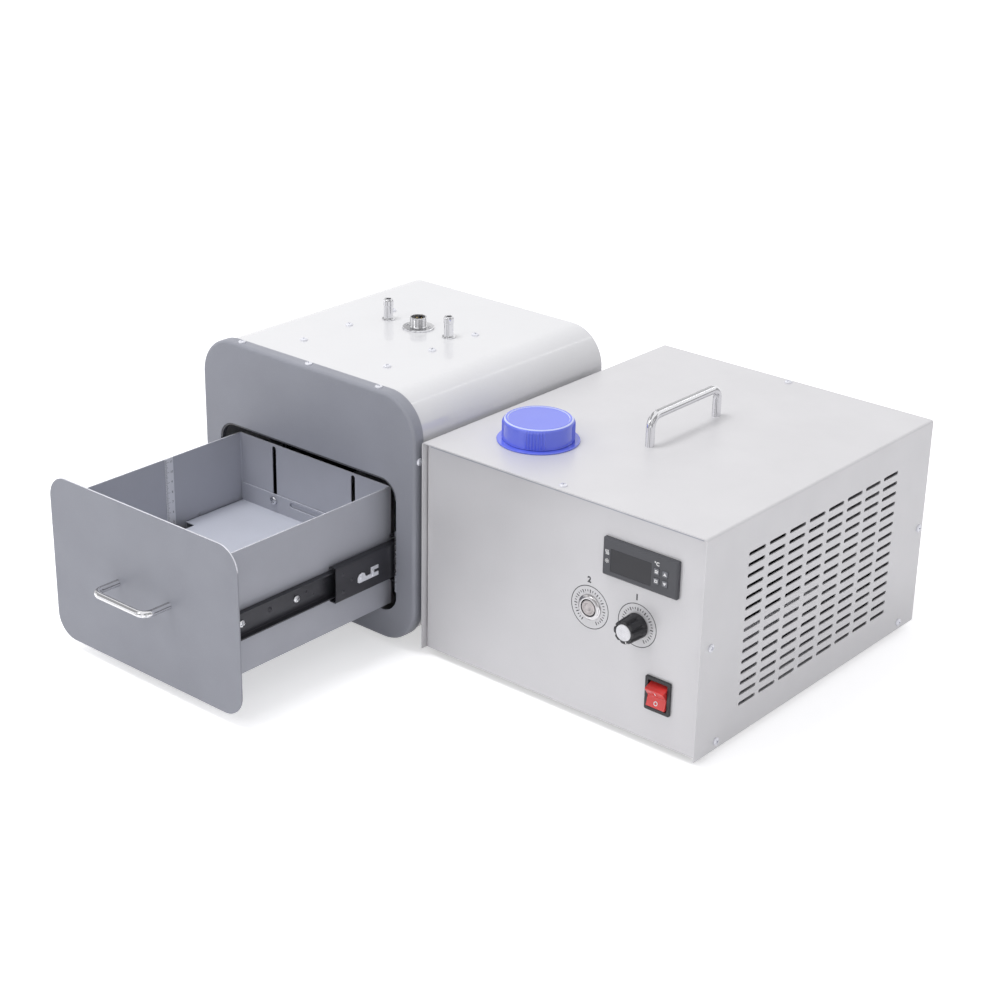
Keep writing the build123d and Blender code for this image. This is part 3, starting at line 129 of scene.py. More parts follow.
def circle(radius, at=(0, 0), steps=48):
    """A circle, anticlockwise."""
    angles = [2 * math.pi * step / steps for step in range(steps)]
    return [(at[0] + radius * math.cos(a), at[1] + radius * math.sin(a)) for a in angles]


def slot(length, width, at=(0, 0), upright=False, steps=5):
    """A slot with round ends."""
    size = (width, length) if upright else (length, width)
    return rounded(*size, width / 2 - 0.001, at, steps)


def turning(loop, anticlockwise):
    """The loop, turned round if it doesn't run that way."""
    area = sum(a[0] * b[1] - b[0] * a[1] for a, b in zip(loop, loop[1:] + loop[:1]))
    return loop if (area > 0) == anticlockwise else loop[::-1]


def shifted(loop, distance, closed=True):
    """The line moved to its left by a distance, with mitred corners."""
    moved = []
    count = len(loop)
    for i, point in enumerate(loop):
        before = loop[i - 1] if closed or i > 0 else None
        after = loop[(i + 1) % count] if closed or i < count - 1 else None
        normals = []
        for start, end in ((before, point), (point, after)):
            if start is not None and end is not None:
                length = math.dist(start, end)
                normals.append((-(end[1] - start[1]) / length, (end[0] - start[0]) / length))
        first, last = normals[0], normals[-1]
        scale = distance / (1 + first[0] * last[0] + first[1] * last[1])
        both = (first[0] + last[0], first[1] + last[1])
        moved.append((point[0] + both[0] * scale, point[1] + both[1] * scale))
    return moved


def bent(points, radius, steps=5):
    """An open line with its corners rounded."""
    line = [points[0]]
    for before, corner, after in zip(points, points[1:], points[2:]):
        corner_v, before_v, after_v = Vector(corner), Vector(before), Vector(after)
        inward = (before_v - corner_v).normalized()
        outward = (after_v - corner_v).normalized()
        half = math.acos(max(-1.0, min(1.0, inward.dot(outward)))) / 2
        reach = radius / math.tan(half)
        centre = corner_v + (inward + outward).normalized() * (radius / math.sin(half))
        start = corner_v + inward * reach - centre
        end = corner_v + outward * reach - centre
        line += [tuple(centre + start.slerp(end, step / steps) * radius) for step in range(steps + 1)]
    line.append(points[-1])
    return line


# ---- shapes: (points, faces)
def put(shape, plane):
    """The shape moved onto a plane."""
    return [plane @ Vector(p) for p in shape[0]], shape[1]


def placed(shape, planes):
    """A copy of the shape on each plane."""
    return [put(shape, plane) for plane in planes]


def merged(*shapes):
    """Several shapes as one."""
    points, faces = [], []
    for shape in shapes:
        start = len(points)
        points += [Vector(p) for p in shape[0]]
        faces += [tuple(i + start for i in face) for face in shape[1]]
    return points, faces


def loft(rings, closed=False):
    """A skin over rings of equal length, with flat ends, or joined end to end."""
    count = len(rings[0])
    points = [Vector(p) for ring in rings for p in ring]
    faces = []
    for k in range(len(rings) if closed else len(rings) - 1):
        a, b = k * count, (k + 1) % len(rings) * count
        faces += [(a + i, a + (i + 1) % count, b + (i + 1) % count, b + i) for i in range(count)]
    if not closed:
        faces += [tuple(range(count)), tuple(range(len(points) - count, len(points)))]
    return points, faces


def rounding(edge, low, high, steps=3):
    """(inset, height) pairs up a plate's side, with both its edges rounded."""
    turns = quarter(steps)
    lower = [(edge * (1 - math.sin(t)), low + edge * (1 - math.cos(t))) for t in turns]
    upper = [(edge * (1 - math.cos(t)), high - edge * (1 - math.sin(t))) for t in turns]
    return lower + upper


def plate(loops, low, high, edge=0.0):
    """A flat plate. The first loop is its outline and the others are holes."""
    loops = [turning(loop, i == 0) for i, loop in enumerate(loops)]
    profile = rounding(edge, low, high) if edge else [(0, low), (0, high)]
    rings = [[shifted(loop, inset) if inset else loop for loop in loops] for inset, _ in profile]
    count = sum(len(loop) for loop in loops)
    points = [(x, y, z) for ring, (_, z) in zip(rings, profile) for loop in ring for x, y in loop]
    flat = tessellate_polygon([[Vector((x, y, 0)) for x, y in loop] for loop in rings[0]])
    last = (len(profile) - 1) * count
    faces = [tuple(t) for t in flat] + [tuple(i + last for i in t) for t in flat]
    for k in range(len(profile) - 1):
        start = k * count
        for loop in loops:
            size = len(loop)
            for i in range(size):
                a, b = start + i, start + (i + 1) % size
                faces.append((a, b, b + count, a + count))
            start += size
    return points, faces


def box(low, high, edge=0.3):
    """A block with rounded edges along its own z."""
    width, depth = high[0] - low[0], high[1] - low[1]
    at = ((low[0] + high[0]) / 2, (low[1] + high[1]) / 2)
    return plate([rounded(width, depth, max(edge, 0.05), at, 3)], low[2], high[2], edge)


def lathe(profile, steps=48, closed=False):
    """A turned shape. The profile holds (radius, height) pairs."""
    rings = [[(x, y, z) for x, y in circle(radius, steps=steps)] for radius, z in profile]
    return loft(rings, closed)


def rod(path, radius, steps=16):
    """A round rod along a line."""
    path = [Vector(p) for p in path]
    side = Vector((0, 1, 0))
    rings = []
    for i, point in enumerate(path):
        along = (path[min(i + 1, len(path) - 1)] - path[max(i - 1, 0)]).normalized()
        side = (side - along * side.dot(along)).normalized()
        other = along.cross(side)
        rings.append([point + side * x + other * y for x, y in circle(radius, steps=steps)])
    return loft(rings)


def wavy_ring(radius, z, depth, steps, wave):
    """A ring whose radius grows by depth times a wave of the angle."""
    angles = [2 * math.pi * step / steps for step in range(steps)]
    reach = [radius + depth * wave(angle) for angle in angles]
    return [(r * math.cos(a), r * math.sin(a), z) for r, a in zip(reach, angles)]


def bow(spacing, reach, bend, radius):
    """A bow handle that stands on its own x axis."""
    half = spacing / 2
    corners = [(-half, 0, 0), (-half, 0, reach), (half, 0, reach), (half, 0, 0)]
    return rod(bent(corners, bend, 10), radius, 24)


def mirrored(shape):
    """The shape reflected about the curing box's middle plane."""
    return [Vector((2 * BOX_X - p[0], p[1], p[2])) for p in shape[0]], shape[1]


def lettering(text, size, depth=0.08, weight=0.0):
    """Flat letters, numbers or signs, centred. A weight makes their strokes bolder."""
    curve = bpy.data.curves.new("letters", "FONT")
    curve.body, curve.size, curve.extrude, curve.offset = text, size, depth / 2, weight
    curve.align_x, curve.align_y, curve.resolution_u = "CENTER", "CENTER", 3
    holder = bpy.data.objects.new("letters", curve)
    bpy.context.scene.collection.objects.link(holder)
    mesh = bpy.data.meshes.new_from_object(holder)
    shape = shape_of(mesh)
    bpy.data.objects.remove(holder)
    bpy.data.curves.remove(curve)
    bpy.data.meshes.remove(mesh)
    return shape


def shape_of(mesh):
    """A Blender mesh's points and faces."""
    return [v.co.copy() for v in mesh.vertices], [tuple(p.vertices) for p in mesh.polygons]


def made_mesh(name, shape, scale=1.0):
    """A Blender mesh of a shape, with its normals outwards."""
    mesh = bpy.data.meshes.new(name)
    mesh.from_pydata([Vector(p) * scale for p in shape[0]], [], shape[1])
    work = bmesh.new()
    work.from_mesh(mesh)
    bmesh.ops.recalc_face_normals(work, faces=work.faces)
    work.to_mesh(mesh)
    work.free()
    return mesh


def cut(shape, tool):
    """The shape without what the tool covers."""
    whole = bpy.data.objects.new("whole", made_mesh("whole", shape))
    knife = bpy.data.objects.new("knife", made_mesh("knife", tool))
    for part in (whole, knife):
        bpy.context.scene.collection.objects.link(part)
    step = whole.modifiers.new("cut", "BOOLEAN")
    step.operation, step.object, step.solver = "DIFFERENCE", knife, "EXACT"
    bpy.context.view_layer.update()
    solved = whole.evaluated_get(bpy.context.evaluated_depsgraph_get())
    mesh = bpy.data.meshes.new_from_object(solved)
    result = shape_of(mesh)
    for part in (whole, knife):
        old = part.data
        bpy.data.objects.remove(part)
        bpy.data.meshes.remove(old)
    bpy.data.meshes.remove(mesh)
    return result


def crossed_screw(radius, height, shank, length):
    """A pan-head screw with a cross recess, seated on its own plane."""
    side = height * 0.35
    profile = [(shank, -length), (shank, 0), (radius, 0), (radius, side)]
    profile += [
        (max(radius * math.cos(t) ** 0.7, 0.12), side + (height - side) * math.sin(t))
        for t in quarter(6)[1:]
    ]
    head = lathe(profile, 28)
    reach, width, floor = radius * 0.62, radius * 0.2, height * 0.3
    for a, b in ((reach, width / 2), (width / 2, reach)):
        head = cut(head, plate([rounded(2 * a, 2 * b, 0.02, steps=1)], floor, height + 1))
    return head


# ---- materials
def tint(screen):
    """A colour as it is written for screens, in Blender's linear numbers."""
    shares = [value / 255 for value in screen]
    return tuple(v / 12.92 if v <= 0.04045 else ((v + 0.055) / 1.055) ** 2.4 for v in shares)


def scaled(color, factor):
    """The colour made darker or lighter, with its alpha."""
    return tuple(min(1.0, c * factor) for c in color) + (1.0,)


def add_node(tree, kind, **inputs):
    """A new shader node with some of its inputs set. An underscore stands for a space."""
    node = tree.nodes.new("ShaderNode" + kind)
    for socket, value in inputs.items():
        node.inputs[socket.replace("_", " ")].default_value = value
    return node


def spread(tree, value, low, high, to_low, to_high):
    """A value carried from one range to another."""
    node = add_node(tree, "MapRange", From_Min=low, From_Max=high, To_Min=to_low, To_Max=to_high)
    tree.links.new(value, node.inputs["Value"])
    return node.outputs["Result"]


GRAIN_DEPTH, WAVE_DEPTH, SOFT_DEPTH = 0.0004, 0.001, 0.004
BAND_SCALE = 2.3


def surface(
    name, screen, rough, metallic, tone, tone_scale, swing, grain, height,
    waves=0.0, waves_height=0.0, stretch=(1, 1, 1), coat=0.0, soft=0.0, specks=0.0, bands=0.0, **sockets
):
    """A material with uneven tone, uneven gloss and a fine relief, all from noise."""
    color = tint(screen)
    material = bpy.data.materials.new(name)
    material.use_nodes = True
    tree = material.node_tree
    link = tree.links.new
    shader = tree.nodes["Principled BSDF"]
    place = add_node(tree, "TexCoord")
    mapping = add_node(tree, "Mapping", Scale=stretch)
    link(place.outputs["Object"], mapping.inputs["Vector"])

    def noise(scale, detail, roughness=0.5, at=mapping.outputs["Vector"]):
        node = add_node(tree, "TexNoise", Scale=scale, Detail=detail, Roughness=roughness)
        link(at, node.inputs["Vector"])
        return node.outputs["Fac"]

    def blend(first, second, pattern, low, high):
        mix = tree.nodes.new("ShaderNodeMix")
        mix.data_type = "RGBA"
        if isinstance(first, tuple):
            mix.inputs["A"].default_value = first
        else:
            link(first, mix.inputs["A"])
        mix.inputs["B"].default_value = second
        link(spread(tree, pattern, low, high, 0.0, 1.0), mix.inputs["Factor"])
        return mix.outputs["Result"]

    def relief(strength, distance, pattern):
        bump = add_node(tree, "Bump", Strength=strength, Distance=distance)
        link(pattern, bump.inputs["Height"])
        return bump

    base = blend(scaled(color, 1 - tone), scaled(color, 1 + tone), noise(tone_scale, 4), 0.3, 0.7)
    if specks:
        base = blend(base, scaled(color, 1 + specks), noise(grain * 0.7, 2, 0.7), 0.6, 0.72)
    if bands:
        # The surroundings are plain white, so polished metal has little to mirror. Dark and bright
        # bands by the surface's direction are painted on, in place of a studio's reflections.
        directions = noise(BAND_SCALE, 1.0, at=place.outputs["Normal"])
        base = blend(base, scaled(color, 1 - bands), directions, 0.5, 0.58)
    link(base, shader.inputs["Base Color"])
    gloss = noise(tone_scale * 2.3, 5, 0.6)
    link(
        spread(tree, gloss, 0.3, 0.7, max(rough - swing, 0.02), rough + swing), shader.inputs["Roughness"]
    )
    bump = relief(height, GRAIN_DEPTH, noise(grain, 3))
    if waves:
        swell = relief(waves_height, WAVE_DEPTH, noise(waves, 2))
        link(swell.outputs["Normal"], bump.inputs["Normal"])
    link(bump.outputs["Normal"], shader.inputs["Normal"])
    sockets.update(Metallic=metallic, Coat_Weight=coat, Subsurface_Weight=soft, Subsurface_Scale=SOFT_DEPTH)
    for socket, value in sockets.items():
        shader.inputs[socket.replace("_", " ")].default_value = value
    return material


# Each look's colour for screens, roughness, metallic, tone and its scale, swing of the gloss, grain
# and its height, and whatever else it has. Those down to red_plastic are the part's own material
# slots, and the others are for pieces or faces that look different from their slot.
LOOKS = {
    "grey_powder": ((149, 151, 160), 0.46, 0, 0.035, 18, 0.06, 1300, 0.22, {"specks": 0.08}),
    "white_wrap": (
        (222, 222, 224), 0.16, 0, 0.012, 18, 0.05, 420, 0.025,
        {"waves": 90, "waves_height": 0.05, "coat": 0.6},
    ),
    "silver_paint": ((216, 215, 217), 0.36, 0.15, 0.02, 18, 0.05, 1700, 0.06, {"specks": 0.05}),
    "zinc": ((205, 206, 210), 0.27, 1, 0.12, 160, 0.1, 700, 0.08, {}),
    "black_steel": ((56, 56, 62), 0.38, 0.35, 0.14, 70, 0.1, 500, 0.06, {"stretch": (1, 0.12, 1)}),
    "chrome": ((234, 234, 237), 0.1, 0.8, 0.03, 18, 0.05, 260, 0.02, {"bands": 0.62}),
    "alloy": ((214, 215, 219), 0.3, 1, 0.06, 60, 0.08, 900, 0.08, {"stretch": (1, 1, 0.1)}),
    "led_white": ((236, 236, 228), 0.4, 0, 0.03, 18, 0.06, 800, 0.05, {}),
    "glass": ((244, 248, 248), 0.04, 0, 0.01, 18, 0.02, 60, 0.01, {"Transmission_Weight": 1}),
    "rubber": ((42, 42, 44), 0.75, 0, 0.12, 18, 0.06, 1100, 0.3, {"specks": 0.3}),
    "steel_scale": ((226, 227, 232), 0.36, 0.15, 0.05, 80, 0.06, 900, 0.06, {"stretch": (1, 1, 0.08)}),
    "blue_plastic": (
        (99, 114, 233), 0.14, 0, 0.04, 18, 0.06, 500, 0.03,
        {"waves": 120, "waves_height": 0.02, "coat": 0.6},
    ),
    "tank_plastic": ((228, 230, 228), 0.45, 0, 0.04, 18, 0.06, 600, 0.12, {"soft": 0.2}),
    "black_plastic": ((40, 40, 43), 0.42, 0, 0.1, 18, 0.09, 1500, 0.14, {}),
    "charcoal_plastic": ((74, 75, 80), 0.42, 0, 0.06, 18, 0.06, 1900, 0.14, {}),
    "key_plastic": ((116, 117, 123), 0.4, 0, 0.06, 18, 0.06, 1800, 0.1, {}),
    "display": ((34, 34, 40), 0.3, 0, 0.04, 18, 0.04, 300, 0.01, {}),
    "red_plastic": ((222, 62, 60), 0.24, 0, 0.05, 18, 0.06, 700, 0.04, {"soft": 0.15, "coat": 0.3}),
    "black_print": ((58, 59, 64), 0.5, 0, 0.1, 18, 0.06, 1500, 0.08, {}),
    "white_print": ((240, 240, 240), 0.5, 0, 0.04, 18, 0.06, 1500, 0.08, {}),
    "dark_insert": ((30, 30, 34), 0.5, 0, 0.1, 18, 0.06, 1200, 0.12, {}),
    "gold_pin": ((222, 196, 130), 0.25, 1, 0.04, 18, 0.06, 800, 0.05, {}),
    # Paler metal for the screws and latch levers. On the drawer's top edges the same look is a painted
    # highlight, where light catches the rounded edges; it is not wear.
    "pale_metal_and_edge_highlight": ((232, 233, 240), 0.24, 0.35, 0.1, 120, 0.06, 900, 0.08, {}),
    # The grey powder made lighter for the tray and the platform, so that they read lighter in the drawer's
    # shade: painted light. It is also the mid grey of the panel's shade strip.
    "lit_grey_powder": ((176, 178, 187), 0.45, 0, 0.035, 18, 0.06, 1300, 0.22, {"specks": 0.08}),
    # A still paler grey for the platform's flat faces: painted light on its top.
    "lit_platform_top": ((206, 209, 220), 0.4, 0, 0.03, 18, 0.06, 1300, 0.2, {"specks": 0.06}),
    "spun_disc": ((196, 196, 199), 0.3, 1, 0.08, 140, 0.06, 1500, 0.1, {"Anisotropic": 0.7}),
    "satin_ring": ((206, 204, 206), 0.2, 1, 0.1, 160, 0.06, 900, 0.05, {"bands": 0.5}),
    "dark_fins": ((48, 48, 52), 0.45, 0.6, 0.08, 18, 0.06, 900, 0.1, {}),
    # A paler, glossier blue for the cap's rim: a painted highlight.
    "painted_rim_highlight": ((196, 206, 252), 0.12, 0, 0.06, 60, 0.06, 500, 0.03, {"coat": 0.8}),
    "button_face": ((190, 184, 184), 0.34, 0.55, 0.12, 220, 0.06, 900, 0.06, {}),
}
LOOKS = {name: surface(name, *numbers, **rest) for name, (*numbers, rest) in LOOKS.items()}

for row in frame["record"]["subparts"]:
    for place in frame["nodes"][row["node"]].material_slots:
        place.material = LOOKS["dark_fins" if row["node"] == "radiator" else row["material_slot"]]

SHARP_ANGLE = math.radians(38)


def piece(name, shapes, body, finish, replaced=(), on=None, look=None, second=None):
    """One finished piece, riding on its body. on is the plane its shapes stand on, look stands in
    for the slot's own, and second holds another look and says which faces have it."""
    shape = merged(*shapes) if isinstance(shapes, list) else shapes
    mesh = made_mesh(name, shape if on is None else put(shape, on), MM)
    mesh.shade_smooth()
    mesh.set_sharp_from_angle(angle=SHARP_ANGLE)
    mesh.materials.append(LOOKS[look or finish])
    if second:
        mesh.materials.append(LOOKS[second[0]])
        for face in mesh.polygons:
            face.material_index = int(second[1](face.center / MM, face.normal))
    made = bpy.data.objects.new(name, mesh)
    bpy.context.scene.collection.objects.link(made)
    weights = made.modifiers.new("even_light", "WEIGHTED_NORMAL")
    weights.keep_sharp = True
    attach(made, body)
    if replaced:
        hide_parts(*replaced)


# ---- curing box: frame and shell
frame_low, frame_high = span("chamber_front_frame")
frame_width, frame_height = frame_high.x - frame_low.x, frame_high.z - frame_low.z
frame_z = (frame_low.z + frame_high.z) / 2
frame_plane = facing("front", BOX_X, frame_low.y, frame_z)
FRAME_RADIUS, FRAME_SHEET, FRAME_EDGE, FRAME_SEAM = 38.0, 1.5, 3.2, 7.0
WINDOW = (226.0, 129.5, 18.0, 97.75)


def skin(width, height, profile, at=(0, 0), steps=24):
    """A closed skin round a rounded rectangle. The profile holds (inset, radius, height) rows."""
    rings = [
        [(x, y, z) for x, y in rounded(width - 2 * inset, height - 2 * inset, radius, at, steps)]
        for inset, radius, z in profile
    ]
    return loft(rings, closed=True)


def rim(width, height, radius, profile):
    """A skin whose corners shrink with the inset. The profile holds (inset, height) pairs."""
    return skin(width, height, [(inset, radius - inset, z) for inset, z in profile])


frame_arc = quarter(6)
outside = [(FRAME_EDGE * (1 - math.cos(t)), -FRAME_EDGE * (1 - math.sin(t))) for t in frame_arc]
inner_edge = FRAME_EDGE - FRAME_SHEET
inside = [
    (FRAME_EDGE - inner_edge * math.cos(t), -FRAME_EDGE + inner_edge * math.sin(t))
    for t in reversed(frame_arc)
]
frame_section = (
    [(FRAME_SEAM, 0.0)] + outside[::-1]
    + [(0.0, -11.7), (0.3, -12.0), (1.2, -12.0), (1.5, -11.7)]
    + inside[::-1] + [(FRAME_SEAM, -FRAME_SHEET)]
)
seam_outline = rounded(
    frame_width - 2 * FRAME_SEAM, frame_height - 2 * FRAME_SEAM, FRAME_RADIUS - FRAME_SEAM, steps=24
)
window_at = (0, WINDOW[3] - frame_z)
window_outline = rounded(*WINDOW[:3], window_at, 14)
frame_face = plate([seam_outline, window_outline], -FRAME_SHEET, 0.0)
piece(
    "front_frame", [rim(frame_width, frame_height, FRAME_RADIUS, frame_section), frame_face],
    "units", "grey_powder", ["chamber_front_frame"], on=frame_plane,
)

# A trim along the upper side of the window
TRIM = 2.0
trim_inside = rounded(WINDOW[0] - 2 * TRIM, WINDOW[1] - 2 * TRIM, WINDOW[2] - TRIM, window_at, 14)
half_way = len(window_outline) // 2
trim_outline = window_outline[:half_way] + trim_inside[:half_way][::-1]
piece(
    "window_trim", plate([trim_outline], -5.0, -0.4, 0.3), "units", "rubber", on=frame_plane,
    look="charcoal_plastic",
)

SHELL_RADIUS = 36.4
shell_low, shell_high = span("chamber_shell")
shell_width, shell_height = shell_high.x - shell_low.x, shell_high.z - shell_low.z
shell_depth = shell_high.y - shell_low.y
shell_section = [(0, 0), (0, -shell_depth), (FRAME_SHEET, -shell_depth), (FRAME_SHEET, 0)]
shell = rim(shell_width, shell_height, SHELL_RADIUS, shell_section)
back_low, back_high = span("chamber_back_panel")
back_corners = [(i * BACK_SCREW_X, j * BACK_SCREW_Z) for i in (-1, 1) for j in (-1, 1)]
tab_planes = [facing("front", BOX_X + x, back_low.y, frame_z + z) for x, z in back_corners]
tabs = placed(box((-12, -6, 0), (12, 6, 1.5)), tab_planes)
piece(
    "wrapped_shell", [put(shell, facing("front", BOX_X, shell_low.y, frame_z))] + tabs,
    "units", "white_wrap", ["chamber_shell"],
)
piece(
    "back_sheet", plate([rounded(shell_width, shell_height, SHELL_RADIUS, steps=24)], -FRAME_SHEET, 0, 0.5),
    "units", "white_wrap", ["chamber_back_panel"], on=facing("back", BOX_X, back_high.y, frame_z),
)

# ---- screws of both units
lamp_screw_planes = [
    facing("top", BOX_X + i * 53, 38.925 + j * 60, shell_high.z, 20 * j + 31 * i)
    for i in (-1, 1) for j in (-1, 0, 1)
]
piece(
    "lamp_plate_screws", placed(crossed_screw(3.6, 2.0, 2.0, 8.0), lamp_screw_planes),
    "units", "zinc", ["lamp_screws"], look="pale_metal_and_edge_highlight",
)
frame_screw_y = frame_low.y + 6.5
frame_screw_planes = [
    facing("top", BOX_X + x, frame_screw_y, frame_high.z, turn)
    for x, turn in ((-86.5, 12), (0, 50), (86.5, -20))
]
frame_screw_planes += [
    facing(side, BOX_X + way * frame_width / 2, frame_screw_y, frame_z + 62, 1054)
    for side, way in (("left", -1), ("right", 1))
]
frame_screw_planes += [
    facing("back", BOX_X + x, back_high.y, frame_z + z, math.copysign(25, x)) for x, z in back_corners
]
piece(
    "frame_screws", placed(crossed_screw(3.4, 1.7, 1.8, 5.0), frame_screw_planes), "units", "zinc",
    look="pale_metal_and_edge_highlight",
)
cover_screw_planes = [in_unit("top", 150, y, 200, turn) for y, turn in ((8, 33), (345, 5))]
for y, z in ((14.7, 100), (31, 7.4), (345, 96), (325, 7.4)):
    cover_screw_planes += [in_unit("right", 300, y, z, y), in_unit("left", 0, y, z, -y)]
cover_screw_planes += [
    in_unit("back", x, REAR_Y, z, x) for x, z in ((12, 12), (288, 12), (12, 186), (288, 186), (150, 190))
]
piece(
    "cover_screws", placed(crossed_screw(3.5, 1.8, 1.9, 5.0), cover_screw_planes), "units", "zinc",
    look="pale_metal_and_edge_highlight",
)

# ---- lamp connections
barb_profile = [
    (5.0, -10.0), (5.0, 0.0), (6.2, 0.0), (6.4, 0.2), (6.4, 0.8), (6.1, 1.1), (4.7, 1.2), (4.45, 1.5),
    (4.4, 2.2), (4.4, 13.4), (4.5, 13.8), (4.8, 14.1), (4.8, 18.2), (4.6, 19.2), (4.0, 20.2),
    (3.6, 20.5), (2.9, 20.5), (2.6, 20.2), (2.6, -10.0),
]
barb_planes = [facing("top", BOX_X + i * 38.5, LAMP_ROW_Y, shell_high.z) for i in (-1, 1)]
barb_planes += [in_unit("back", x, REAR_Y, REAR_ROW_Z) for x in (175, 255)]
piece(
    "hose_barbs", placed(lathe(barb_profile, 40, closed=True), barb_planes),
    "units", "chrome", ["water_barbs"],
)


def socket_metal():
    """A round panel socket: its flange and its threaded barrel."""
    profile = [(7.6, -8.8), (7.6, 0.0), (14.8, 0.0), (15.0, 0.3), (15.0, 1.5), (14.6, 1.9), (8.4, 2.0)]
    for k in range(7):
        profile += [(r, z + k * 1.2) for r, z in ((8.0, 2.6), (7.7, 3.0), (7.7, 3.3), (8.0, 3.7))]
    profile += [(8.0, 11.0), (7.7, 11.3), (6.95, 11.3), (6.75, 11.1), (6.75, 5.4), (6.75, -8.8)]
    return lathe(profile, 56, closed=True)


flange_screw = crossed_screw(1.7, 1.0, 1.0, 1.5)
insert = lathe([(6.7, -9.0), (6.7, 4.6), (6.3, 5.2), (0.2, 5.2)], 40)
key_rib = box((-0.9, 5.6, 5.0), (0.9, 6.74, 10.2), 0.2)
pin = lathe([(0.75, 5.0), (0.75, 9.0), (0.45, 9.6), (0.1, 9.7)], 14)
pin_angles = [math.radians(90 * k + 45) for k in range(4)]
socket_shapes, insert_shapes, pin_shapes = [], [], []
for plane in (facing("top", BOX_X, LAMP_ROW_Y, shell_high.z, 20), in_unit("back", 215, REAR_Y, REAR_ROW_Z)):
    socket_shapes.append(put(socket_metal(), plane))
    socket_shapes += [
        put(flange_screw, plane @ moved(x, 0, 1.95)) for x in (-11.6, 11.6)
    ]
    insert_shapes += [put(insert, plane), put(key_rib, plane)]
    pin_shapes += [
        put(pin, plane @ moved(3.3 * math.cos(t), 3.3 * math.sin(t)))
        for t in pin_angles
    ]
piece("socket_shells", socket_shapes, "units", "chrome", ["lamp_sockets"])
piece("socket_inserts", insert_shapes, "units", "black_plastic", look="dark_insert")
piece("socket_pins", pin_shapes, "units", "alloy", look="gold_pin")

# ---- feet
FOOT = [(0.94, 0.0), (1.0, 0.06), (1.0, 0.5), (0.93, 1.0)]
for name, node, radius in (("box_feet", "chamber_feet", 11.0), ("unit_feet", "control_feet", 8.0)):
    low, high = span(node)
    foot = lathe([(radius * r, (high.z - low.z) * z) for r, z in FOOT], 40)
    planes = [
        facing("top", x, y, low.z)
        for x in (low.x + radius, high.x - radius) for y in (low.y + radius, high.y - radius)
    ]
    piece(name, placed(foot, planes), "units", "rubber", [node])

# ---- drawer
front_low, front_high = span("drawer_front")
front_z = (front_low.z + front_high.z) / 2
front_plane = facing("front", BOX_X, front_low.y, front_z)
# Faces along the front's upper rim that point up get the paler look: a painted highlight along the edge.
piece(
    "drawer_face", plate([rounded(240, 157, 22, steps=20)], -1.5, 0, 0.45),
    "drawer", "grey_powder", ["drawer_front"], on=front_plane,
    second=("pale_metal_and_edge_highlight", lambda at, normal: abs(normal.y) < 0.8 and normal.z > 0.1),
)
piece("drawer_pull", bow(66, 27, 9, 3.25), "drawer", "chrome", ["drawer_handle"], on=front_plane)
tray_low, tray_high = span("drawer_tray")
WALL = 1.2
tray_length, tray_wide, tray_tall = tray_high.y - tray_low.y, 194.0, tray_high.z - tray_low.z
tray_mid_y, tray_mid_z = (tray_low.y + tray_high.y) / 2, (tray_low.z + tray_high.z) / 2
side_wall = plate([rounded(tray_length, tray_tall, 0.4, steps=2)], -WALL, 0, 0.3)
clamp_slots = [slot(96.5, 5, (i * 51, 100.25 - tray_mid_z), True) for i in (-1, 1)]
end_outline = rounded(tray_wide - 1, tray_tall, 0.4, steps=2)
back_wall = plate([end_outline] + clamp_slots, -WALL, 0, 0.3)
front_wall = plate([end_outline], -WALL, 0, 0.3)
floor_sheet = plate([rounded(tray_wide - 0.4, tray_length - 0.4, 0.4, steps=2)], 0, WALL)
corner_seam = rod([(0, 0, -tray_tall / 2 + 0.5), (0, 0, tray_tall / 2 - 0.8)], 0.9, 10)
# The top faces of the tray's walls get the paler look: a painted highlight along their edges.
piece(
    "tray",
    [
        put(side_wall, facing("right", tray_high.x, tray_mid_y, tray_mid_z)),
        put(side_wall, facing("left", tray_low.x, tray_mid_y, tray_mid_z)),
        put(back_wall, facing("back", BOX_X, tray_high.y, tray_mid_z)),
        put(front_wall, facing("front", BOX_X, tray_low.y, tray_mid_z)),
        put(floor_sheet, facing("top", BOX_X, tray_mid_y, tray_low.z)),
    ] + [
        put(corner_seam, facing("top", x, tray_high.y - 1.1, tray_mid_z))
        for x in (tray_low.x + 1.1, tray_high.x - 1.1)
    ],
    "drawer", "grey_powder", ["drawer_tray"], look="lit_grey_powder",
    second=("pale_metal_and_edge_highlight", lambda at, normal: at.z > tray_high.z - 0.4 and normal.z > 0.3),
)

# Height scale on the tray's left wall: a mark each millimetre, longer ones each 5 and 10
scale_low, scale_high = span("height_scale")
scale_y = (scale_low.y + scale_high.y) / 2
scale_tall = scale_high.z - scale_low.z
scale_plane = facing("right", scale_high.x, scale_y, scale_low.z)
piece(
    "scale_strip", plate([rounded(10, scale_tall, 0.6, (0, scale_tall / 2))], -0.45, 0, 0.12),
    "drawer", "steel_scale", ["height_scale"], on=scale_plane,
)
marks = []
for step in range(1, int(scale_tall)):
    reach = 4.4 if step % 10 == 0 else 3.2 if step % 5 == 0 else 2.0
    marks.append(plate([rounded(reach, 0.22, 0.05, (-4.7 + reach / 2, step), 1)], -0.02, 0.05))
    if step % 10 == 0:
        marks.append(
            put(lettering(str(step // 10), 3.2, 0.06), moved(2.6, step - 0.1))
        )
piece("scale_marks", marks, "drawer", "black_plastic", on=scale_plane, look="black_print")

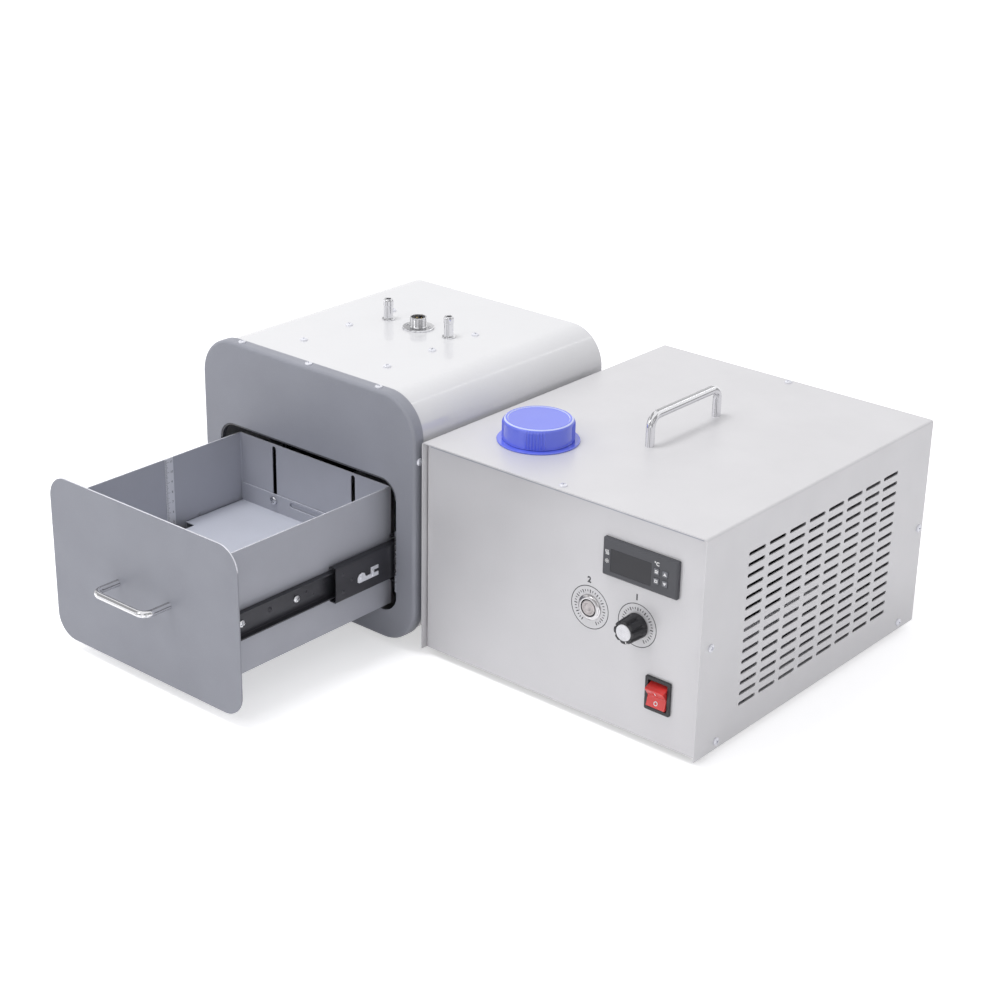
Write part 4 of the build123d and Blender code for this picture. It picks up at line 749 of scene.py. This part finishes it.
# Platform: top sheet with a notch for the scale, skirts, back lip with a hand slot
deck_low, deck_high = span("platform")
DECK_TOP, SKIRT, LIP, NOTCH_DEEP, NOTCH_LONG = 83.0, 9.0, 18.0, 12, 24
half = (deck_high.x - deck_low.x) / 2
long = deck_high.y - deck_low.y
deck_y = (deck_low.y + deck_high.y) / 2
notch_low = -154.075 - deck_y - 8
notch_high = notch_low + NOTCH_LONG
deck_outline = [
    (-half, -long / 2), (half, -long / 2), (half, long / 2), (-half, long / 2), (-half, notch_high),
    (NOTCH_DEEP - half, notch_high), (NOTCH_DEEP - half, notch_low), (-half, notch_low),
]
deck = plate([deck_outline], -WALL, 0, 0.35)
lip = plate([rounded(2 * half, LIP + 1, 2.5, (0, LIP / 2 - 0.5)), slot(60, 5, (0, 13))], -WALL, 0, 0.35)
skirts = [
    put(plate([rounded(reach, SKIRT, 1, (at, -SKIRT / 2))], -WALL, 0, 0.3), facing(side, x, y, DECK_TOP))
    for side, x, y, reach, at in (
        ("right", BOX_X + half, deck_y, long, 0),
        ("front", BOX_X, deck_low.y, 2 * half, 0),
        ("left", BOX_X - half, deck_y, notch_low + long / 2, -(notch_low - long / 2) / 2),
        ("left", BOX_X - half, deck_y, long / 2 - notch_high, -(long / 2 + notch_high) / 2),
    )
]
# Faces that point up or down get the paler look: painted light on the platform's top, not a coat of its
# own.
piece(
    "lift_platform",
    [
        put(deck, facing("top", BOX_X, deck_y, DECK_TOP)),
        put(lip, facing("back", BOX_X, deck_high.y, DECK_TOP)),
    ] + skirts,
    "tray_platform", "grey_powder", ["platform"], look="lit_grey_powder",
    second=("lit_platform_top", lambda at, normal: abs(normal.z) > 0.5),
)
CLAMP_X, CLAMP_Z = 51, 94.5
clamp_planes = [
    facing("front", BOX_X + i * CLAMP_X, deck_high.y - WALL, CLAMP_Z, 20 * i) for i in (-1, 1)
]
piece(
    "platform_clamps", placed(crossed_screw(4.2, 2.6, 2.2, 9.6), clamp_planes),
    "tray_platform", "zinc", ["clamp_screws"],
)
nut_back = span("clamp_nuts")[1].y
nut = plate([circle(4.6, steps=6), circle(2.3, steps=24)], -3.6, 0, 0.4)
nut_planes = [facing("back", BOX_X + i * CLAMP_X, nut_back, CLAMP_Z) for i in (-1, 1)]
piece("clamp_hex_nuts", placed(nut, nut_planes), "tray_platform", "zinc", ["clamp_nuts"])

# ---- drawer slides
SLIDE_Z, SLIDE_SHEET, SLIDE_LONG = 84.0, 1.2, 200.0
wall_x = tray_high.x
outer_low, _ = span("slide_outer_right")
middle_low, _ = span("slide_middle_right")
inner_low, _ = span("slide_inner_right")


def both_sides(name, shapes, body, finish, nodes):
    """The right-hand piece and its mirror image, each in its own node's place."""
    right = merged(*shapes) if isinstance(shapes, list) else shapes
    piece(name + "_right", right, body, finish, [nodes + "_right"])
    piece(name + "_left", mirrored(right), body, finish, [nodes + "_left"])


def c_channel(web, tip, half_height, lip, start_y):
    """A C channel on the right-hand slide, open towards the tray."""
    outline = [
        (tip, half_height - lip), (tip, half_height), (web, half_height), (web, -half_height),
        (tip, -half_height), (tip, -half_height + lip),
    ]
    line = bent(outline, 1.6, 4)
    section = line + shifted(line, -SLIDE_SHEET, closed=False)[::-1]
    return put(plate([section], -SLIDE_LONG, 0), facing("front", wall_x, start_y, SLIDE_Z))


def dimple(radius, height):
    """A small pressed dimple."""
    return lathe([(radius, -0.3), (radius, 0.0), (radius * 0.72, height * 0.7), (radius * 0.2, height)], 18)


both_sides(
    "outer_channel", c_channel(12.7, 2.2, 22.5, 3.3, outer_low.y), "units", "black_steel", "slide_outer"
)
middle_marks = placed(dimple(1.8, 0.6), [
    facing("right", wall_x + 9.85, middle_low.y + y, SLIDE_Z + z)
    for y, z in ((9, -8.5), (9, 8.5), (20, 0), (150, 0))
])
both_sides(
    "middle_channel", [c_channel(9.9, 1.6, 17.0, 2.1, middle_low.y)] + middle_marks,
    "slide_middles", "black_steel", "slide_middle",
)
inner_outline = [(6.5, 12.5), (0, 12.5), (0, -12.5), (6.5, -12.5)]
inner_line = bent(inner_outline, 1.6, 4)
inner_section = inner_line + shifted(inner_line, SLIDE_SHEET, closed=False)[::-1]
inner_channel = put(plate([inner_section], -SLIDE_LONG, 0), facing("front", wall_x, inner_low.y, SLIDE_Z))
web_x = wall_x + SLIDE_SHEET
inner_marks = [
    put(dimple(radius, height), facing("right", web_x - 0.05, y, SLIDE_Z + z))
    for radius, height, y, z in ((2.4, 1.2, -215, 1), (1.6, 0.8, -172, 2), (1.0, 0.6, -163, -3))
]
inner_marks.append(
    put(plate([slot(22, 3.2, steps=6)], -0.3, 0.35, 0.15), facing("right", web_x, -140, SLIDE_Z + 5))
)
both_sides("inner_channel", [inner_channel] + inner_marks, "drawer", "black_steel", "slide_inner")
slide_screws = placed(
    crossed_screw(3.6, 2.2, 2.0, 2.4),
    [facing("right", web_x, y, SLIDE_Z, 13 * y) for y in (-248.075, -184.075, -120.075)],
)
handle_screws = placed(
    crossed_screw(3.8, 2.0, 2.0, 5.0),
    [facing("back", BOX_X + i * 33, front_high.y, front_z, 40 * i) for i in (-1, 1)],
)
piece(
    "drawer_fixings", slide_screws + [mirrored(shape) for shape in slide_screws] + handle_screws,
    "drawer", "zinc", ["drawer_screws"],
)

latch_low, latch_high = span("slide_latches")
latch_outline = [
    (-26, 1.2), (-24.4, 0), (0, 0.2), (0, 4.0), (-5.4, 4.0), (-5.4, 6.9), (0, 6.9), (0, 10.2),
    (-9.3, 10.2), (-9.3, 4.2), (-15.0, 4.0), (-16.6, 5.0), (-17.4, 7.6), (-20.2, 9.0), (-24.2, 7.9),
    (-26, 5.0),
]
latch_x = wall_x + 9.9
latch = put(
    plate([latch_outline, circle(1.1, (-21.9, 4.1), 14)], 0, 1.0, 0.25),
    facing("right", latch_x, latch_high.y, latch_low.z),
)
latch_pin = put(
    lathe([(1.3, -0.2), (1.3, 1.2), (0.9, 1.5), (0.2, 1.5)], 16),
    facing("right", latch_x, latch_high.y - 21.9, latch_low.z + 4.1),
)
piece(
    "latch_levers", [latch, latch_pin, mirrored(latch), mirrored(latch_pin)],
    "slide_middles", "zinc", ["slide_latches"], look="pale_metal_and_edge_highlight",
)

# ---- control unit: cover and panels
COVER_SHEET, BEND, DEPTH, WIDTH, HEIGHT = 1.2, 2.5, 352.0, 300.0, 200.0
MARGIN = 6.0
vents = [
    slot(24.5, 3.4, (73.7 + 30 * i, 29.3 + 9.8 * j), steps=4) for i in range(8) for j in range(15)
]
side_tall = HEIGHT - BEND - MARGIN


def flat_loop(x0, y0, x1, y1):
    """A rectangle from two of its corners."""
    return [(x0, y0), (x1, y0), (x1, y1), (x0, y1)]


roof_outline = flat_loop(BEND + MARGIN, 0, WIDTH - BEND - MARGIN, DEPTH)
cover_sheets = [
    put(plate(loops, -COVER_SHEET, 0), in_unit(side, *place))
    for loops, side, place in (
        ([flat_loop(0, 0, DEPTH, side_tall)] + vents, "right", (WIDTH, 0, 0)),
        ([flat_loop(-DEPTH, 0, 0, side_tall)], "left", (0, 0, 0)),
        ([roof_outline, circle(29.0, (70, 73), 64)], "top", (0, 0, HEIGHT)),
    )
]
bend_line = bent([(WIDTH, side_tall), (WIDTH, HEIGHT), (WIDTH - BEND - MARGIN, HEIGHT)], BEND, 10)
bend_section = bend_line + shifted(bend_line, COVER_SHEET, closed=False)[::-1]
right_bend = put(plate([bend_section], -DEPTH, 0), in_unit("front", 0, 0, 0))
left_bend = [
    Vector((2 * (UNIT_LEFT + WIDTH / 2) - p.x, p.y, p.z)) for p in right_bend[0]
], right_bend[1]
piece("cover", cover_sheets + [right_bend, left_bend], "units", "silver_paint", ["control_cover"])

front_low, front_high = span("control_front_panel")
PANEL_GAP, PANEL_BEND = 0.9, 1.4
front_wide = front_high.x - front_low.x - 2 * PANEL_GAP
front_tall = front_high.z - front_low.z - PANEL_GAP
panel_bend = [(PANEL_BEND * (1 - math.cos(t)), PANEL_BEND * (math.sin(t) - 1)) for t in quarter(5)]
panel_section = [(0, -17.5)] + panel_bend + [(8.0, 0.0), (8.0, -1.5), (1.5, -1.6), (1.4, -17.5)]
panel_centre = (WIDTH / 2, front_tall / 2)
panel_holes = [
    rounded(70.9, 29.0, 0.5, (235.7, 154.7), 3), circle(8.1, (184.4, 101.3), 32),
    circle(4.6, (233.5, 101.3), 24), rounded(22.4, 28.4, 0.5, (258.5, 45.5), 3),
]
panel_face = plate(
    [rounded(front_wide - 16, front_tall - 16, 1.0, panel_centre)] + panel_holes, -1.5, 0
)
panel_edge = [(inset, 1.0, z) for inset, z in panel_section]
panel_y = 5.0
panel_plane = in_unit("front", 0, panel_y, 0)
piece(
    "front_panel", [panel_face, skin(front_wide, front_tall, panel_edge, panel_centre, 6)],
    "units", "silver_paint", ["control_front_panel"], on=panel_plane,
)
# A thin mid-grey strip just under the cover's front edge: painted shade, standing in for the shadow that
# the cover's overhang casts on the panel.
shade_strip = plate([rounded(front_wide - 8, 3.6, 0.5, (WIDTH / 2, 197.2), 3)], -0.4, 0.7, 0.25)
piece("panel_shade_strip", shade_strip, "units", "rubber", on=panel_plane, look="lit_grey_powder")
panel_low, panel_high = span("control_back_panel")
panel_wide, panel_tall = panel_high.x - panel_low.x, panel_high.z - panel_low.z
grille = []
for row in range(9):
    up = (row - 4) * 12
    reach = math.sqrt(54**2 - (abs(up) + 3) ** 2) - 3
    grille += [slot(reach, 6, (side * (reach / 2 + 3) - 110, up + 94)) for side in (-1, 1)]
grille += [circle(8.1, (-215, REAR_ROW_Z), 32), circle(7.6, (-258, 35), 32)]
grille += [circle(5.1, (-x, REAR_ROW_Z), 24) for x in (175, 255)]
rear_outline = rounded(panel_wide, panel_tall, 1.0, (-WIDTH / 2, panel_tall / 2), 4)
back_flange = plate([flat_loop(0, 0, 1.5, 17.5)], 0, panel_tall - 21)
top_flange = plate([flat_loop(0, 0, panel_wide, 17.5)], -1.5, 0)
back_sheets = [put(plate([rear_outline] + grille, -1.5, 0, 0.3), in_unit("back", 0, REAR_Y, 0))]
back_sheets += [
    put(back_flange, facing("top", x, panel_low.y, panel_low.z + 20.2))
    for x in (panel_low.x, panel_high.x - 1.5)
]
back_sheets.append(put(top_flange, facing("top", panel_low.x, panel_low.y, panel_high.z)))
piece("back_panel", back_sheets, "units", "silver_paint", ["control_back_panel"])

bow_plane = facing("top", 136.5, 108.325, 206) @ turned(90)
piece("carry_bow", bow(100, 27, 10, 4.0), "units", "chrome", ["carry_handle"], on=bow_plane)

# ---- filler cap and neck
neck_low = span("tank_neck")[0]
cap_low, cap_high = span("filler_cap")
cap_centre = middle("tank_neck")
cap_plane = facing("top", cap_centre.x, cap_centre.y, 0)
neck_profile = [
    (25.5, neck_low.z), (28.6, neck_low.z), (28.9, neck_low.z + 0.4), (28.9, 206), (36.1, 206),
    (36.5, 206.3), (36.5, 207.1), (36.0, 207.6), (29.6, 207.6), (28.9, 208.2),
]
for turn in range(3):
    z = 209.4 + 3.1 * turn
    neck_profile += [(28.7, z), (29.2, z + 0.5), (29.2, z + 1.0), (28.7, z + 1.5)]
neck_profile += [(28.6, 218.7), (28.3, 219.0), (25.8, 219.0), (25.5, 218.7)]
piece(
    "filler_neck", lathe(neck_profile, 96, closed=True), "units", "blue_plastic", ["tank_neck"],
    on=cap_plane,
)


RIB_TURN, RIB_GROUP, RIB_STEP = 304, 17.6, 5


def rib_wave(angle):
    """The ribs on the cap's side, in four groups of seven."""
    offset = (math.degrees(angle) - RIB_TURN + 45) % 90 - 45
    in_group = abs(offset) < RIB_GROUP
    return max(0.0, math.cos(math.radians(offset * 360 / RIB_STEP))) ** 1.3 if in_group else 0.0


def cap_ring(radius, z, ribs=0.0):
    """A ring of the cap."""
    return wavy_ring(radius, z, ribs, 432, rib_wave)


cap_foot, cap_top = cap_low.z, cap_high.z
cap_rows = [
    (8.0, 222.05), (29.0, 222.05), (29.4, 221.6), (29.4, cap_foot), (31.0, cap_foot),
    (31.3, cap_foot + 0.3, 0.35), (31.0, cap_foot + 1.2, 0.95), (31.0, cap_top - 4.4, 0.95),
]
for step, turn in enumerate(quarter(6)):
    cap_rows.append(
        (28.2 + 2.8 * math.cos(turn), cap_top - 3.4 + 3.1 * math.sin(turn), 0.7 * max(0, 1 - step / 3))
    )
cap_rows += [
    (27.2, cap_top - 0.32), (26.6, cap_top - 0.85), (24.0, cap_top - 0.95), (14.0, cap_top - 0.95),
    (3.2, cap_top - 0.95), (2.6, cap_top - 0.75),
]


def in_rim_highlight(at, normal):
    """Whether a face lies on the slope round the cap's top."""
    return (at.xy - cap_centre.xy).length > 20 and at.z > cap_top - 1.0 and 0.3 < normal.z < 0.97


# The slope round the cap's top gets a paler blue: a painted highlight along the rim.
piece(
    "cap", loft([cap_ring(*row) for row in cap_rows]), "cap", "blue_plastic", ["filler_cap"],
    on=cap_plane, second=("painted_rim_highlight", in_rim_highlight),
)

# ---- temperature controller
case_low, case_high = span("controller_case")
case_x, case_z = (case_low.x + case_high.x) / 2, (case_low.z + case_high.z) / 2
case_plane = facing("front", case_x, case_low.y, case_z)
DISPLAY_AT = (-8.7, -1.8)
key_places = [(21.5 + i * 4.2, -1.4 + j * 4.2) for j in (1, -1) for i in (-1, 1)]
case_holes = [rounded(41.2, 20.4, 0.8, DISPLAY_AT, 3)]
case_holes += [rounded(5.6, 5.6, 0.5, place, 3) for place in key_places]
case_wide, case_tall = case_high.x - case_low.x, case_high.z - case_low.z
face_outline = rounded(case_wide - 3.2, case_tall - 3.2, 0.6, steps=3)
bezel = [
    (1.6, 0.6, 0.0), (1.3, 0.7, -0.08), (0.35, 1.0, -0.95), (0.1, 1.1, -1.25), (0.0, 1.2, -1.6),
    (0.0, 1.2, -4.0), (1.6, 0.6, -4.0),
]
piece(
    "controller_bezel",
    [
        plate([face_outline] + case_holes, -1.4, 0.0), skin(case_wide, case_tall, bezel, steps=3),
        box((-35.25, -14.3, -66), (35.25, 14.3, -3.9), 0.6), box((-36, -15, -3.98), (36, 15, -3.0), 0.4),
    ],
    "units", "charcoal_plastic", ["controller_case"], on=case_plane,
)
piece(
    "display_pane", plate([rounded(41, 20.2, 0.7, DISPLAY_AT, 3)], -0.8, -0.05, 0.15),
    "units", "display", ["display_window"], on=case_plane,
)


def snow_sign(size):
    """Six arms with small branches, a plain cold sign."""
    arm = plate([rounded(0.62, size, 0.1, (0, size / 2), 1)], 0, 0.08)
    branch = plate([rounded(0.42, size * 0.4, 0.1, (0, size * 0.17), 1)], 0, 0.08)
    arms = []
    for k in range(6):
        turn = turned(60 * k)
        arms.append(put(arm, turn))
        for way in (-1, 1):
            fork = moved(0, size * 0.6) @ turned(50 * way)
            arms.append(put(branch, turn @ fork))
    return merged(*arms)


def heat_sign(size):
    """Three upright wavy strokes, a plain heat sign."""
    strokes = []
    for x in (-0.3, 0.0, 0.3):
        line = [
            (x * size + 0.09 * size * math.sin(t * math.pi * 2), (t - 0.5) * size)
            for t in [k / 12 for k in range(13)]
        ]
        strokes.append(plate([shifted(line, 0.32, False) + shifted(line, -0.32, False)[::-1]], 0, 0.08))
    return merged(*strokes)


signs = [
    put(heat_sign(4.2), moved(-32.7, 4.4)),
    put(snow_sign(2.1), moved(-32.7, -3.4)),
    put(lettering("°C", 4.4, 0.08, 0.2), moved(17.0, 9.3)),
]
piece("controller_signs", signs, "units", "led_white", on=case_plane, look="white_print")
key_face = rounded(3.0, 2.6, 0.3, steps=2)
key_signs = [
    [key_face, rounded(1.9, 0.6, 0.1, (0, 0.2), 1)], [[(-1.7, -1.2), (1.7, -1.2), (0, 1.6)]],
    [key_face, rounded(1.2, 1.2, 0.1, steps=1)], [[(-1.7, 1.2), (0, -1.6), (1.7, 1.2)]],
]
for number, sign in enumerate(key_signs, start=1):
    node, body = f"controller_key_{number}", f"key_{number}"
    at = middle(node)
    key_plane = facing("front", at.x, span(node)[0].y, at.z)
    key_cap = plate([rounded(5.2, 5.2, 0.7, steps=4)], -3.0, 0, 0.35)
    piece(body + "_cap", key_cap, body, "key_plastic", [node], on=key_plane)
    sign_shape = plate(sign, -0.05, 0.06)
    piece(body + "_sign", sign_shape, body, "led_white", on=key_plane, look="white_print")

# ---- dials
PRINT = 0.05
LEFT_DIAL, RIGHT_DIAL, DIAL_Z = 184.4, 233.5, 101.3
for name, dial_x, label in (("left_dial", LEFT_DIAL, "2"), ("right_dial", RIGHT_DIAL, "1")):
    shapes = [plate([circle(19.6, steps=96), circle(18.9, steps=96)], 0, PRINT)]
    for k in range(31):
        inner_r, outer_r, wide = (13.2, 16.2, 0.9) if k % 3 == 0 else (14.0, 16.0, 0.7)
        tick = plate([rounded(wide, outer_r - inner_r, 0.1, (0, (inner_r + outer_r) / 2), 1)], 0, PRINT)
        shapes.append(put(tick, turned(150 - 10 * k)))
    shapes.append(put(lettering(label, 7.4, 0.06, 0.3), moved(-1.5, 24.8, 0.03)))
    piece(
        name + "_print", shapes, "units", "black_plastic",
        on=in_unit("front", dial_x, panel_y, DIAL_Z), look="black_print",
    )

button_plane = in_unit("front", LEFT_DIAL, panel_y, DIAL_Z)
ring_profile = [
    (8.0, -22.0), (8.0, 0.0), (11.2, 0.0), (11.5, 0.25), (11.5, 0.8), (11.0, 1.4), (10.2, 1.9), (9.2, 2.3),
    (8.4, 2.4), (7.9, 2.2), (7.7, 1.6), (7.5, 1.0), (6.9, 0.8), (6.9, -8.0), (6.9, -21.8),
]
piece(
    "button_ring", lathe(ring_profile, 72, closed=True), "units", "chrome", ["button_bezel"],
    on=button_plane, look="satin_ring",
)
gasket = lathe([(6.85, 0.4), (7.66, 1.0), (7.66, 1.7), (7.2, 1.95), (6.85, 1.8)], 64, closed=True)
piece("button_gasket", gasket, "units", "black_plastic", on=button_plane, look="dark_insert")
button_profile = [
    (6.8, -5.3), (6.8, 2.0), (6.5, 2.4), (5.9, 2.6), (5.2, 2.55), (4.9, 2.1), (4.4, 2.05), (4.0, 2.45),
    (2.8, 2.6), (2.4, 2.3), (0.2, 2.25),
]
piece(
    "button_cap", lathe(button_profile, 64), "button", "chrome", ["push_button"],
    on=button_plane, look="button_face",
)

knob_plane = in_unit("front", RIGHT_DIAL, panel_y, DIAL_Z)


def knob_ring(radius, z, flute=0.0):
    """A ring of the knob, with eight hollow flutes."""
    return wavy_ring(radius, z, -flute, 192, lambda a: max(0.0, math.cos(8 * a + math.pi)) ** 1.5)


knob_rows = [
    (8.2, 0.8), (10.9, 0.8), (11.2, 0.8 + 0.3), (11.0, 0.8 + 3.4), (10.95, 0.8 + 4.0, 0.5),
    (10.9, 6.4, 1.9), (10.3, 17.4, 1.9), (10.1, 18.2, 1.6), (9.6, 18.65, 1.2), (8.7, 18.8, 0.35),
    (7.75, 18.8), (7.6, 18.6), (7.6, 17.9), (3.1, 17.9), (3.1, 8.8), (8.2, 8.8),
]
knob = loft([knob_ring(*row) for row in knob_rows], closed=True)
piece("knob_body", knob, "knob", "black_plastic", ["control_knob"], on=knob_plane)
disc = lathe([(7.4, 17.95), (7.4, 18.75), (7.1, 19.1), (5.4, 19.06), (3.4, 18.95), (0.15, 18.9)], 72)
piece("knob_disc", disc, "knob", "alloy", ["knob_cap"], on=knob_plane, look="spun_disc")
pointer_plane = knob_plane @ turned(math.degrees(math.atan2(-8.5, 3.1)) - 90)
pointer_shapes = [
    plate([rounded(1.0, 1.7, 0.2, (0, 8.5), 2)], 18.7, 18.86),
    box((-0.5, 9.5, 16.0), (0.5, 10.06, 18.2), 0.1),
]
piece("knob_pointer", pointer_shapes, "knob", "led_white", on=pointer_plane, look="white_print")

# ---- rocker switch
switch_shapes = [
    plate([rounded(25.6, 31, 1.6, steps=5), rounded(19.4, 24.8, 0.8, steps=4)], 0, 2.2, 0.5),
    plate([rounded(22, 28, 0.8, steps=3), rounded(19.2, 24.6, 0.5, steps=3)], -18, 0.4),
    plate([rounded(22, 28, 0.8, steps=3)], -20, -17.9, 0.3),
]
piece(
    "switch_case", switch_shapes, "units", "black_plastic", ["rocker_bezel"],
    on=in_unit("front", 258.5, panel_y, 45.5),
)
# The rocker's face: how far its ends and its middle stand out, and how far the ends are apart
rocker_half, rocker_out, rocker_dip, rocker_end = 18.6 / 2, 12.4, 8.4, 8.6
rocker_profile = bent(
    [
        (3.4, 0), (1.0, 11.4), (-rocker_out, rocker_end), (-rocker_dip, 0.0),
        (-rocker_out, -rocker_end), (1.0, -11.4), (3.4, 0),
    ],
    0.7, 4,
)[1:-1]
pivot = Vector((UNIT_LEFT + 258.5, UNIT_FRONT + 11.0, UNIT_BOTTOM + 45.5))
at_rest = Matrix.Translation(pivot) @ turned(10, "X")
rocker_shapes = [
    put(shape, facing("right", 0, 0, 0)) for shape in (
        plate([rocker_profile], -rocker_half, rocker_half, 0.35),
        plate([circle(1.5, steps=24)], -10.5, 10.5, 0.2),
    )
]
piece("rocker", rocker_shapes, "rocker", "red_plastic", ["power_rocker"], on=at_rest)
face_rise = rocker_out - rocker_dip
face_slope = math.atan2(face_rise, rocker_end)
signs = []
for loops, up in (
    ([rounded(0.9, 3.6, 0.2, steps=2)], 1), ([circle(2.0, steps=32), circle(1.25, steps=32)], -1)
):
    face = facing("front", 0, -rocker_dip - face_rise * 4.6 / rocker_end, 4.6 * up)
    tilt = Matrix.Rotation(face_slope * up, 4, "X")
    signs.append(put(plate(loops, 0, 0.06), at_rest @ (face @ tilt)))
piece("rocker_signs", signs, "rocker", "led_white", look="white_print")

# ---- cable gland on the back
gland_dome = [
    (7.5, -10.0), (7.5, 0.2), (7.5, 3.8), (9.3, 3.8), (9.5, 4.6), (9.4, 9.0), (9.0, 9.6), (9.0, 10.2),
    (9.2, 10.8), (8.8, 15.0), (8.0, 18.6), (6.6, 21.0), (5.2, 22.0), (4.2, 22.0), (3.9, 21.6), (3.9, -10.0),
]
gland_nut = plate([circle(11.0, steps=6), circle(7.5, steps=32)], 0, 4.0, 0.5)
piece(
    "gland", [gland_nut, lathe(gland_dome, 48, closed=True)], "units", "black_plastic", ["cable_gland"],
    on=in_unit("back", 258, REAR_Y, 35),
)

# ---- nodes that keep their CAD shape
EDGES = {
    "lamp_cold_plate": 0.5, "lamp_window_frame": 0.5, "led_board": 0.15, "lamp_window": 0.2,
    "runner_rail_left": 0.25, "runner_rail_right": 0.25, "control_base": 0.3,
    "water_tank": 1.5, "pump": 0.8, "radiator": 0.4, "fan_frame": 0.4, "fan_rotor": 0.3, "lamp_driver": 0.5,
}
for node, width in EDGES.items():
    soften = frame["nodes"][node].modifiers.new("soft_edges", "BEVEL")
    soften.width = width * MM
    soften.segments = 2
    soften.limit_method = "ANGLE"
    soften.angle_limit = math.radians(50)

# ---- floor, light and camera
scene = bpy.context.scene
scene.view_settings.view_transform = "Standard"


def finish_tree(tree, lit, shown, kind):
    """Ends a tree with one look that lights the object and one that is seen, by the camera or in a
    gloss or a glass."""
    path = add_node(tree, "LightPath")
    seen = path.outputs["Is Camera Ray"]
    for output in ("Is Glossy Ray", "Is Transmission Ray"):
        more = add_node(tree, "Math")
        more.operation = "MAXIMUM"
        tree.links.new(seen, more.inputs[0])
        tree.links.new(path.outputs[output], more.inputs[1])
        seen = more.outputs[0]
    mix = add_node(tree, "MixShader")
    for source, socket in zip((seen, lit.outputs[0], shown.outputs[0]), mix.inputs):
        tree.links.new(source, socket)
    tree.links.new(mix.outputs[0], add_node(tree, "Output" + kind).inputs["Surface"])


FLOOR_HALF, FLOOR_Z = 6.0, -0.0002
floor_mesh = bpy.data.meshes.new("floor")
floor_mesh.from_pydata(
    [(x * FLOOR_HALF, y * FLOOR_HALF, FLOOR_Z) for x, y in ((-1, -1), (1, -1), (1, 1), (-1, 1))],
    [], [(0, 1, 2, 3)],
)
floor = bpy.data.objects.new("floor", floor_mesh)
scene.collection.objects.link(floor)
floor_look = bpy.data.materials.new("floor")
floor_look.use_nodes = True
tree = floor_look.node_tree
tree.nodes.clear()
paper = add_node(tree, "BsdfDiffuse", Color=(0.86, 0.86, 0.87, 1))
glow = add_node(tree, "Emission", Strength=0.5)
glowing = add_node(tree, "AddShader")
tree.links.new(paper.outputs[0], glowing.inputs[0])
tree.links.new(glow.outputs[0], glowing.inputs[1])
finish_tree(tree, paper, glowing, "Material")
floor_mesh.materials.append(floor_look)

world = bpy.data.worlds.new("studio")
scene.world = world
world.use_nodes = True
tree = world.node_tree
tree.nodes.clear()
# The light from the sky falls off from the left to the right
sky_light = add_node(tree, "Background", Color=(0.96, 0.96, 0.98, 1))
around = add_node(tree, "TexCoord")
parts = add_node(tree, "SeparateXYZ")
tree.links.new(around.outputs["Generated"], parts.inputs[0])
tree.links.new(spread(tree, parts.outputs["X"], -1.0, 1.0, 0.82, 0.62), sky_light.inputs["Strength"])
white_sky = add_node(tree, "Background", Color=(1, 1, 1, 1), Strength=1.0)
finish_tree(tree, sky_light, white_sky, "World")


def lamp(name, place, target, wide, tall, power, in_gloss=True):
    """A soft area lamp that looks at a point; in_gloss says whether polished pieces mirror it."""
    light = bpy.data.lights.new(name, "AREA")
    light.shape, light.size, light.size_y, light.energy = "RECTANGLE", wide, tall, power
    holder = bpy.data.objects.new(name, light)
    holder.visible_glossy = in_gloss
    holder.location = place
    holder.rotation_euler = (Vector(target) - Vector(place)).to_track_quat("-Z", "Y").to_euler()
    scene.collection.objects.link(holder)


lamp("key", (-0.55, -0.45, 2.45), (0, 0, 0.1), 0.8, 0.8, 24, in_gloss=False)
lamp("front_fill", (-0.8, -2.3, 1.7), (0, 0, 0.1), 0.8, 0.8, 6)
lamp("highlight", (0.55, 2.1, 1.9), (-0.1, 0.1, 0.15), 0.04, 1.4, 0.7)

# The camera that took the photo, as solved from the units' edges
AZIMUTH, PITCH, ROLL = (math.radians(angle) for angle in (-39.91, 23.45, -1.15))
flat = math.cos(PITCH)
ahead = Vector((math.sin(AZIMUTH) * flat, math.cos(AZIMUTH) * flat, -math.sin(PITCH)))
level = Vector((math.cos(AZIMUTH), -math.sin(AZIMUTH), 0))
below = ahead.cross(level)
right_axis = math.cos(ROLL) * level + math.sin(ROLL) * below
down_axis = -math.sin(ROLL) * level + math.cos(ROLL) * below
camera_data = bpy.data.cameras.new("camera")
camera_data.sensor_width = 36.0
camera_data.sensor_fit = "HORIZONTAL"
camera_data.lens = 73.83
camera = bpy.data.objects.new("camera", camera_data)
turn = Matrix((right_axis, -down_axis, -ahead)).transposed().to_4x4()
turn.translation = Vector((1.09242, -1.28434, 0.86526))
camera.matrix_world = turn
scene.collection.objects.link(camera)
scene.camera = camera
